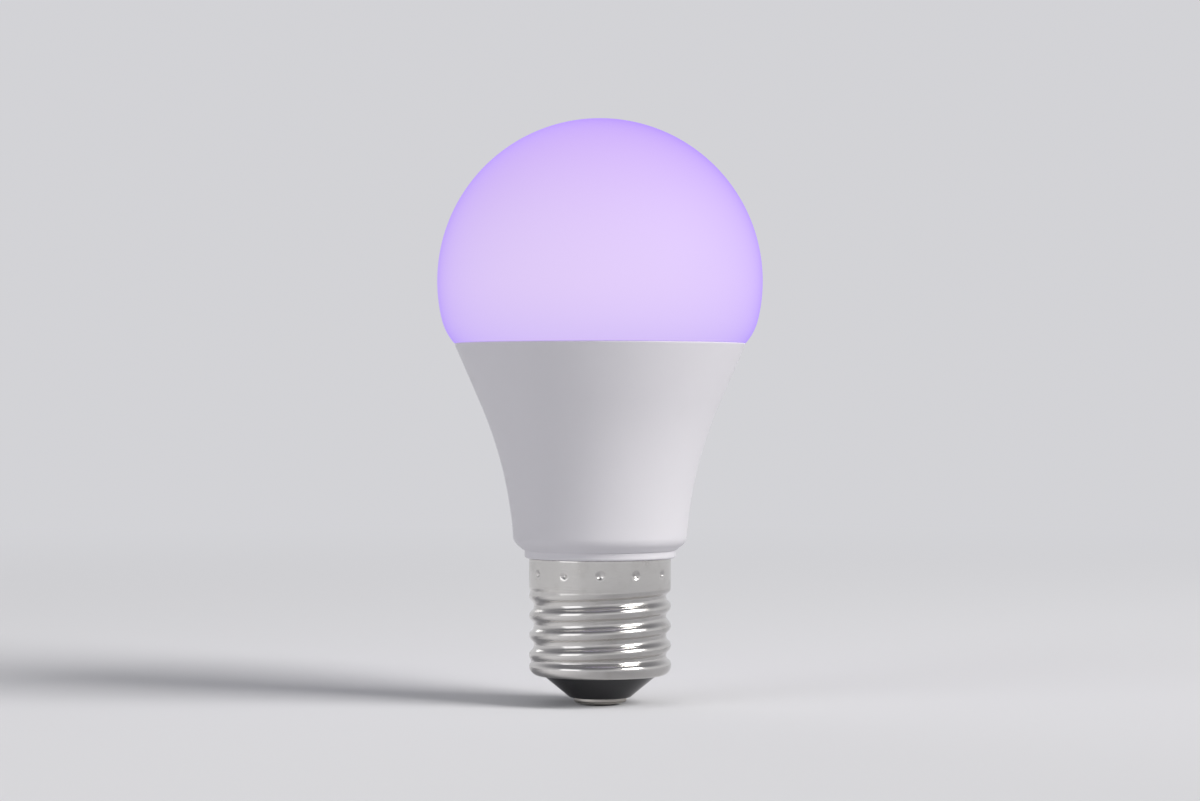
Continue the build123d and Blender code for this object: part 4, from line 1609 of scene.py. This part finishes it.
@dataclass
class Coil:
    """Filter coil: one visible layer of wire round a drum core whose axis is square to the board."""

    middle: Place = (8.4, 0.0, 33.9)
    low: float = 1.85
    high: float = 6.75
    inner: float = 1.65
    outer: float = 3.2
    wire_radius: float = 0.17

    def build(self) -> None:
        """Builds the winding, over a sleeve that stands for its lower layers.

        The wire's middle is a helix one wire radius inside the outside: at angle t its height is low + r
        plus an even share of the room between the ends.
        """
        wire = self.wire_radius
        room = self.high - self.low - 2.0 * wire
        turns = int(room / (2.06 * wire))
        t = np.linspace(0.0, TAU * turns, 36 * turns + 1)
        radius = self.outer - wire
        height = self.low + wire + room * t / t[-1]
        path = np.stack([radius * np.cos(t), radius * np.sin(t), height], axis=1)
        under = self.outer - 1.4 * wire
        sleeve = [[self.inner, self.low], [under, self.low], [under, self.high], [self.inner, self.high]]
        layers = turned(rounded(cornered(sleeve, Corner.CRISP)), 48)
        shape = Shape("coil_wire").add(placed(tube(path, wire, 8), self.middle, Facing.BACK))
        shape.add(placed(layers, self.middle, Facing.BACK), loop=True)
        shape.finish(WoundWire(), "copper_wire", "coil_winding")


@dataclass
class TapedWinding:
    """Transformer winding under yellow tape, slightly crowned."""

    middle: Place = (-5.2, 4.8, 36.1)
    outer: tuple[float, float] = (3.2, 3.7)
    inner: tuple[float, float] = (1.95, 3.25)
    half_height: float = 2.65
    crown: float = 0.12

    def build(self) -> None:
        """Builds the winding.

        Each row on the outside is a rounded rectangle let out by the crown times 1 - s^2 at the share s of
        the half height. The rows then pass over the rounded ends to the inside and back.
        """
        wall = [(self.crown * (1.0 - s**2), s, *self.outer, 1.5) for s in np.linspace(-0.94, 0.94, 15)]
        over = [
            (-0.06, 0.985, *self.outer, 1.5),
            (-0.2, 1.0, *self.outer, 1.4),
            (0.1, 1.0, *self.inner, 0.5),
            (0.0, 0.97, *self.inner, 0.4),
        ]
        under = [(let_out, -share, *rest) for let_out, share, *rest in reversed(over)]
        let_out, share, half_x, half_y, corner = np.array(wall + over + under).T
        rings = rounded_rectangle(half_x + let_out, half_y + let_out, corner)
        tape = MouldedPlastic("polyester_tape", (0.83, 0.58, 0.05), 0.22, 2.5, 0.03)
        grid = placed(stacked(rings, self.half_height * share), self.middle)
        Shape("taped_winding").add(grid, loop=True).finish(tape, "yellow_tape", "transformer_winding")


@dataclass
class Package:
    """Moulded package on the board's back, with gull-wing legs at both sides."""

    name: str
    node: str
    x: float
    z: float
    width: float
    length: float
    height: float
    legs: int
    pitch: float = 2.54
    face: float = -0.6
    edge: float = 0.12
    draft: float = 0.05
    leg_width: float = 0.42
    leg_thickness: float = 0.2
    leg_reach: float = 0.98
    stand_off: float = 0.25
    dimple_inset: float = 0.75

    def leg(self) -> np.ndarray:
        """Makes one leg on the right: a strip that leaves the body level, bends down and ends level.

        The strip's section is a rounded rectangle set square to a line of straight runs and tangent arcs.

        Returns:
            The grid of points, with the board's face at zero and the away direction along Z.
        """
        half = self.width / 2
        low = self.leg_thickness / 2
        high = self.height / 2
        route = [[half - 0.1, high], [half + 0.3, high], [half + 0.45, low], [half + self.leg_reach, low]]
        line = rounded(cornered(route, 0.16), closed=False)
        tangent = np.gradient(line, axis=0)
        tangent /= np.linalg.norm(tangent, axis=1, keepdims=True)
        strip = rounded_rectangle(self.leg_width / 2, low, 0.04, 2)
        x = line[:, :1] - tangent[:, 1:] * strip[:, 1]
        z = line[:, 1:] + tangent[:, :1] * strip[:, 1]
        return np.stack([x, np.broadcast_to(strip[:, 0], x.shape), z], axis=-1)

    def build(self) -> None:
        """Builds the body, whose sides draw in from the middle to both faces, and its legs."""
        origin = (self.x, self.face, self.z)
        thickness = self.height - self.stand_off
        body = block((self.width, self.length, thickness), self.edge, self.edge)
        body[..., :2] *= 1.0 - self.draft * np.abs(body[..., 2:]) / (thickness / 2)
        body[..., 2] += self.stand_off + thickness / 2
        shape = Shape(self.name).add(placed(body, origin, Facing.FRONT))
        for side in BOTH_SIDES:
            for number in range(self.legs):
                leg = self.leg() * (side, 1.0, 1.0)
                leg[..., 1] += (number - (self.legs - 1) / 2) * self.pitch
                shape.add(placed(leg, origin, Facing.FRONT))
        half = self.width / 2
        dimple = (self.x - half + self.dimple_inset, self.z + self.length / 2 - self.dimple_inset)
        epoxy = PackageEpoxy(f"{self.name}_finish", self.x, half, dimple)
        shape.finish(epoxy, "black_package", self.node)


@dataclass
class SolderJoints:
    """Solder fillets on both faces of the driver board, where leads meet or leave it, as X and Z."""

    face: float = 0.6
    radius: float = 0.8
    height: float = 0.5
    stub: float = 0.28
    front: tuple[tuple[float, float], ...] = ((-1.75, 15.8), (1.75, 15.8), (6.65, 38.1), (10.15, 38.1))
    back: tuple[tuple[float, float], ...] = (
        *((-1.75, 15.8), (1.75, 15.8), (8.8, 31.1), (11.2, 31.1), (-8.6, 42.5)),
        *((-6.4, 42.5), (-4.2, 42.5), (-8.6, 31.1), (-4.3, 31.1)),
    )

    def build(self) -> None:
        """Builds the fillets.

        A fillet's radius falls from its foot as stub + (R - stub) (1 - h / H)^2, and a cut stub of the
        lead stands in it.
        """
        share = np.linspace(0.0, 1.0, 9)
        flank = self.stub + (self.radius - self.stub) * (1.0 - share) ** 2
        cone = np.stack([flank, self.height * share], axis=1)
        end = [[self.stub, self.height + 0.3], [0.6 * self.stub, self.height + 0.36]]
        joint = turned(np.vstack([[[0.3, -0.01], [self.radius - 0.02, -0.01]], cone, end]), 20)
        shape = Shape("solder_joints")
        faces = ((self.front, self.face, Facing.BACK), (self.back, -self.face, Facing.FRONT))
        for places, y, facing in faces:
            for x, z in places:
                shape.add(placed(joint, (x, y, z), facing))
        bright, dull = (0.74, 0.75, 0.76), (0.56, 0.56, 0.57)
        solder = WorkedMetal("solder", bright, dull, 0.22, Grain.NONE, 0.5, 0.006)
        shape.finish(solder, "tinned_wire")


@dataclass
class Varistor:
    """Dipped disc that stands on the board's back."""

    middle: Place = (4.7, -0.8, 28.4)
    radius: float = 3.5
    thickness: float = 2.6

    def build(self) -> None:
        """Builds the disc; its section is an oval with |cos t|^0.45 across and |sin t|^0.8 in depth."""
        half = self.thickness / 2
        t = np.linspace(-QUARTER, QUARTER, 25)
        across = 0.1 + (self.radius - 0.1) * np.abs(np.cos(t)) ** 0.45
        lens = np.stack([across, half + half * np.sign(t) * np.abs(np.sin(t)) ** 0.8], axis=1)
        coating = SoftCompound("varistor_coating", (0.03, 0.15, 0.42), 0.3, 1.5, 0.03)
        shape = Shape("dipped_varistor").add(placed(turned(lens, 64), self.middle, Facing.FRONT))
        shape.finish(coating, "blue_coating", "varistor")


@dataclass
class FuseResistor:
    """Fusible resistor with a dumb-bell body and colour bands, given as heights over its foot."""

    foot: Place = (4.5, -2.2, 16.2)
    length: float = 7.0
    radius: float = 1.4
    waist: float = 0.16
    end_share: float = 0.14
    brown: Colour = (0.22, 0.08, 0.03)
    black: Colour = (0.02, 0.02, 0.02)
    gold: Colour = (0.55, 0.4, 0.12)

    def build(self) -> None:
        """Builds the resistor, with ends of a quarter ellipse and a waist between two smooth steps."""
        s = np.linspace(0.0, 1.0, 41)
        waist = self.waist * smooth(0.16, 0.3, s) * smooth(0.84, 0.7, s)
        past = np.clip(np.abs(2.0 * s - 1.0) - (1.0 - self.end_share), 0.0, None) / self.end_share
        ends = np.sqrt(np.clip(1.0 - past**2, 0.01, None))
        body = np.stack([self.radius * (0.55 + 0.45 * ends) - waist, self.length * s], axis=1)
        bands = ((1.1, self.brown), (2.6, self.black), (3.6, self.black), (5.6, self.gold))
        bands = tuple((self.foot[2] + rise, tone) for rise, tone in bands)
        shape = Shape("fusible_resistor").add(placed(turned(body, 48), self.foot))
        shape.finish(BandedLacquer("resistor_lacquer", bands), "green_coating", "fuse_resistor")


@dataclass
class ShieldCan:
    """Tinned can over the wireless module's parts."""

    size: Place = (9.0, 8.0, 1.9)
    middle: Place = (0.0, -5.35, 54.6)

    def build(self) -> None:
        """Builds the can."""
        bright, dull = (0.74, 0.75, 0.76), (0.55, 0.56, 0.57)
        tin = WorkedMetal("tinned_can", bright, dull, 0.28, Grain.ALONG, 0.3, 0.004)
        shape = Shape("shield_can").add(placed(block(self.size, 0.5, 0.25), self.middle, Facing.FRONT))
        shape.finish(tin, "tinned_can", "module_shield")


@dataclass
class Lead:
    """Bare lead from the driver board to the contact or to the shell."""

    name: str
    node: str
    route: tuple[Place, ...]
    radius: float = 0.4
    bend: float = 1.4

    def build(self) -> None:
        """Builds the lead as round wire along straight runs and tangent arcs."""
        tinned = WorkedMetal("tinned_wire", (0.78, 0.78, 0.78), (0.6, 0.6, 0.58), 0.25, Grain.ALONG, 0.2)
        path = resampled(rounded(cornered(self.route, self.bend), 10, closed=False), 0.5, False)
        Shape(self.name).add(tube(path, self.radius, 16)).finish(tinned, "tinned_wire", self.node)


class Driver:
    """The driver board with its parts, and the wireless module behind it."""

    def dress_plain_parts(self) -> None:
        """Dresses the boards, the cores, the bobbin and the header."""
        dress(CoatedBoard("driver_board_mask", (0.02, 0.20, 0.08), (0.55, 0.50, 0.30)), "driver_board")
        module_mask = CoatedBoard(
            "module_board_mask",
            (0.01, 0.04, 0.16),
            (0.45, 0.42, 0.28),
            0.5,
            aerial=(3.5, 64.6, 70.1),
            track=(0.03, 0.10, 0.30),
        )
        dress(module_mask, "module_board")
        ferrite = MouldedPlastic("ferrite", (0.06, 0.06, 0.065), 0.62, 0.15, 0.012, 0.25)
        dress(ferrite, "transformer_core", "coil_core")
        dress(MouldedPlastic("bobbin_black", (0.03, 0.03, 0.03), 0.4, 0.3, 0.01), "transformer_bobbin")
        dress(MouldedPlastic("black_epoxy", (0.025, 0.025, 0.028), 0.5, 0.12, 0.01, 0.2), "module_header")

    def build(self) -> None:
        """Dresses the plain parts and builds the others."""
        self.dress_plain_parts()
        live = ((4.5, -2.2, 16.6), (4.5, -2.2, 11.4), (0.0, 0.0, 11.4), (0.0, 0.0, 6.7))
        neutral = ((-7.4, -1.1, 18.5), (-7.4, -1.1, 11.6), (-11.4, 0.0, 11.6), (-11.4, 0.0, 19.0))
        parts = (
            TapedWinding(),
            Capacitor("input_can", "input_capacitor", x=0.0, base=17.0, length=11.0),
            Capacitor("output_can", "output_capacitor", x=8.4, base=39.3, length=8.5),
            Coil(),
            Varistor(),
            FuseResistor(),
            ShieldCan(),
            Package("bridge_package", "bridge_rectifier", -3.5, 27.0, 3.8, 4.7, 2.4, legs=2),
            Package("chip_package", "controller_chip", 0.0, 33.2, 3.9, 4.9, 1.5, legs=4, pitch=1.27),
            Package("diode_package", "output_diode", 8.8, 38.0, 4.3, 2.6, 2.1, legs=1),
            SolderJoints(),
            Lead("live_wire", "live_lead", live),
            Lead("neutral_wire", "neutral_lead", neutral),
        )
        for part in parts:
            part.build()


# The studio


def seen(graph: Graph) -> Value:
    """Marks the rays that carry what is seen.

    Args:
        graph: Graph to add to.

    Returns:
        1 for a ray from the camera, one off metal and one through glass.
    """
    outputs = graph.node("ShaderNodeLightPath").socket.node.outputs
    kinds = ("Is Camera Ray", "Is Glossy Ray", "Is Transmission Ray")
    camera, glossy, clear = (Value(graph, outputs[kind]) for kind in kinds)
    return camera.either(glossy).either(clear)


@dataclass(frozen=True)
class FloorPaint(Finish):
    """Matt paint that gives way to the backdrop's colour far out, between two distances from the lamp."""

    name: str = "studio_floor"
    colour: Colour = (0.75, 0.75, 0.77)
    backdrop: Colour = (0.65, 0.65, 0.675)
    fade: tuple[float, float] = (50.0, 850.0)

    def paint(self, graph: Graph) -> None:
        """Mixes the paint with the backdrop's colour, for what is seen only.

        Args:
            graph: Graph of the material.
        """
        x, y, _ = graph.place()
        away = distance(x, y).rises(*self.fade)
        paint = graph.node("ShaderNodeBsdfDiffuse", inputs={"Color": (*self.colour, 1.0), "Roughness": 1.0})
        sky = graph.node("ShaderNodeEmission", inputs={"Color": (*self.backdrop, 1.0), "Strength": 1.0})
        both = graph.node("ShaderNodeMixShader", inputs={0: away * seen(graph), 1: paint, 2: sky})
        graph.node("ShaderNodeOutputMaterial", inputs={"Surface": both})


@dataclass(frozen=True)
class SoftLight:
    """Square area light that faces the lamp's middle, with its sizes in metres and its power in watts."""

    name: str
    place: Place
    size: float
    power: float
    colour: Colour = (1.0, 1.0, 1.0)
    target: Place = (0.0, 0.0, 0.055)

    def build(self) -> None:
        """Hangs the light."""
        data = bpy.data.lights.new(self.name, "AREA")
        data.shape = "SQUARE"
        data.size = self.size
        data.energy = self.power
        data.color = self.colour
        lamp = link(self.name, data)
        lamp.location = self.place
        lamp.rotation_euler = (Vector(self.target) - Vector(self.place)).to_track_quat("-Z", "Y").to_euler()


@dataclass
class Studio:
    """Pale floor, soft light and the camera, with lengths in metres.

    The ceiling is what metal mirrors from overhead, and the ambient light comes from all round.
    """

    paint: FloorPaint = FloorPaint()
    ceiling: Colour = (0.2, 0.2, 0.22)
    ambient: Colour = (0.97, 0.98, 1.0)
    ambient_strength: float = 0.30
    floor_radius: float = 4.0
    floor_level: float = -0.0001
    camera_place: Place = (0.0, -0.5907, 0.056)
    lens: float = 96.0
    lights: tuple[SoftLight, ...] = (
        SoftLight("key_light", (0.90, -0.50, 0.70), 0.60, 12.0, (1.0, 0.985, 0.97)),
        SoftLight("fill_light", (-0.95, -0.75, 0.45), 0.80, 1.8, (0.96, 0.97, 1.0)),
        SoftLight("back_light", (-0.35, 0.95, 0.75), 0.70, 2.2),
    )

    def build(self) -> None:
        """Builds the floor, the world, the lights and the camera."""
        self.build_floor()
        self.build_world()
        for light in self.lights:
            light.build()
        self.build_camera()
        bpy.context.scene.view_settings.view_transform = "Standard"

    def build_floor(self) -> None:
        """Makes a round floor, a turned line of radii that grow as the cube of an even share."""
        share = np.linspace(0.02, 1.0, 40)
        profile = np.stack([self.floor_radius * share**3, np.full_like(share, self.floor_level)], axis=1)
        grid = turned(profile, 96)
        rows, columns, _ = grid.shape
        points = np.vstack([grid.reshape(-1, 3), [0.0, 0.0, self.floor_level]])
        column = np.arange(columns)
        hub = np.stack([np.full(columns, rows * columns), column, np.roll(column, -1)], axis=-1)
        faces = quads_of(rows, columns)[:, ::-1].tolist() + hub.tolist()
        floor = mesh_object("studio_floor", points, faces, self.paint)

    def build_world(self) -> None:
        """Makes the world: even light for the lamp, and the backdrop's colour for what is seen."""
        world = bpy.data.worlds.new("studio_world")
        bpy.context.scene.world = world
        world.use_nodes = True
        graph = Graph(world.node_tree)
        inputs = {"Color": (*self.ambient, 1.0), "Strength": self.ambient_strength}
        light = graph.node("ShaderNodeBackground", inputs=inputs)
        _, _, upward = graph.split(graph.node("ShaderNodeTexCoord", output="Generated"))
        tone = graph.mix(upward.rises(0.2, 0.8), self.paint.backdrop, self.ceiling)
        sky = graph.node("ShaderNodeBackground", inputs={"Color": tone, "Strength": 1.0})
        both = graph.node("ShaderNodeMixShader", inputs={0: seen(graph), 1: light, 2: sky})
        graph.node("ShaderNodeOutputWorld", inputs={"Surface": both})

    def build_camera(self) -> None:
        """Sets the camera level, where the photograph was taken from, with a longer lens."""
        data = bpy.data.cameras.new("camera")
        data.lens = self.lens
        data.sensor_width = 36.0
        data.clip_start = 0.01
        data.clip_end = 20.0
        camera = link("camera", data)
        camera.location = self.camera_place
        camera.rotation_euler = (QUARTER, 0.0, 0.0)
        bpy.context.scene.camera = camera


def main() -> None:
    """Builds the lamp and the studio in order."""
    logging.basicConfig(level=logging.INFO, format="%(name)s: %(message)s")
    for part in (Cover(), Housing(), ScrewCap(), LightBoard(), Driver(), Studio()):
        part.build()


if __name__ == "__main__":
    main()
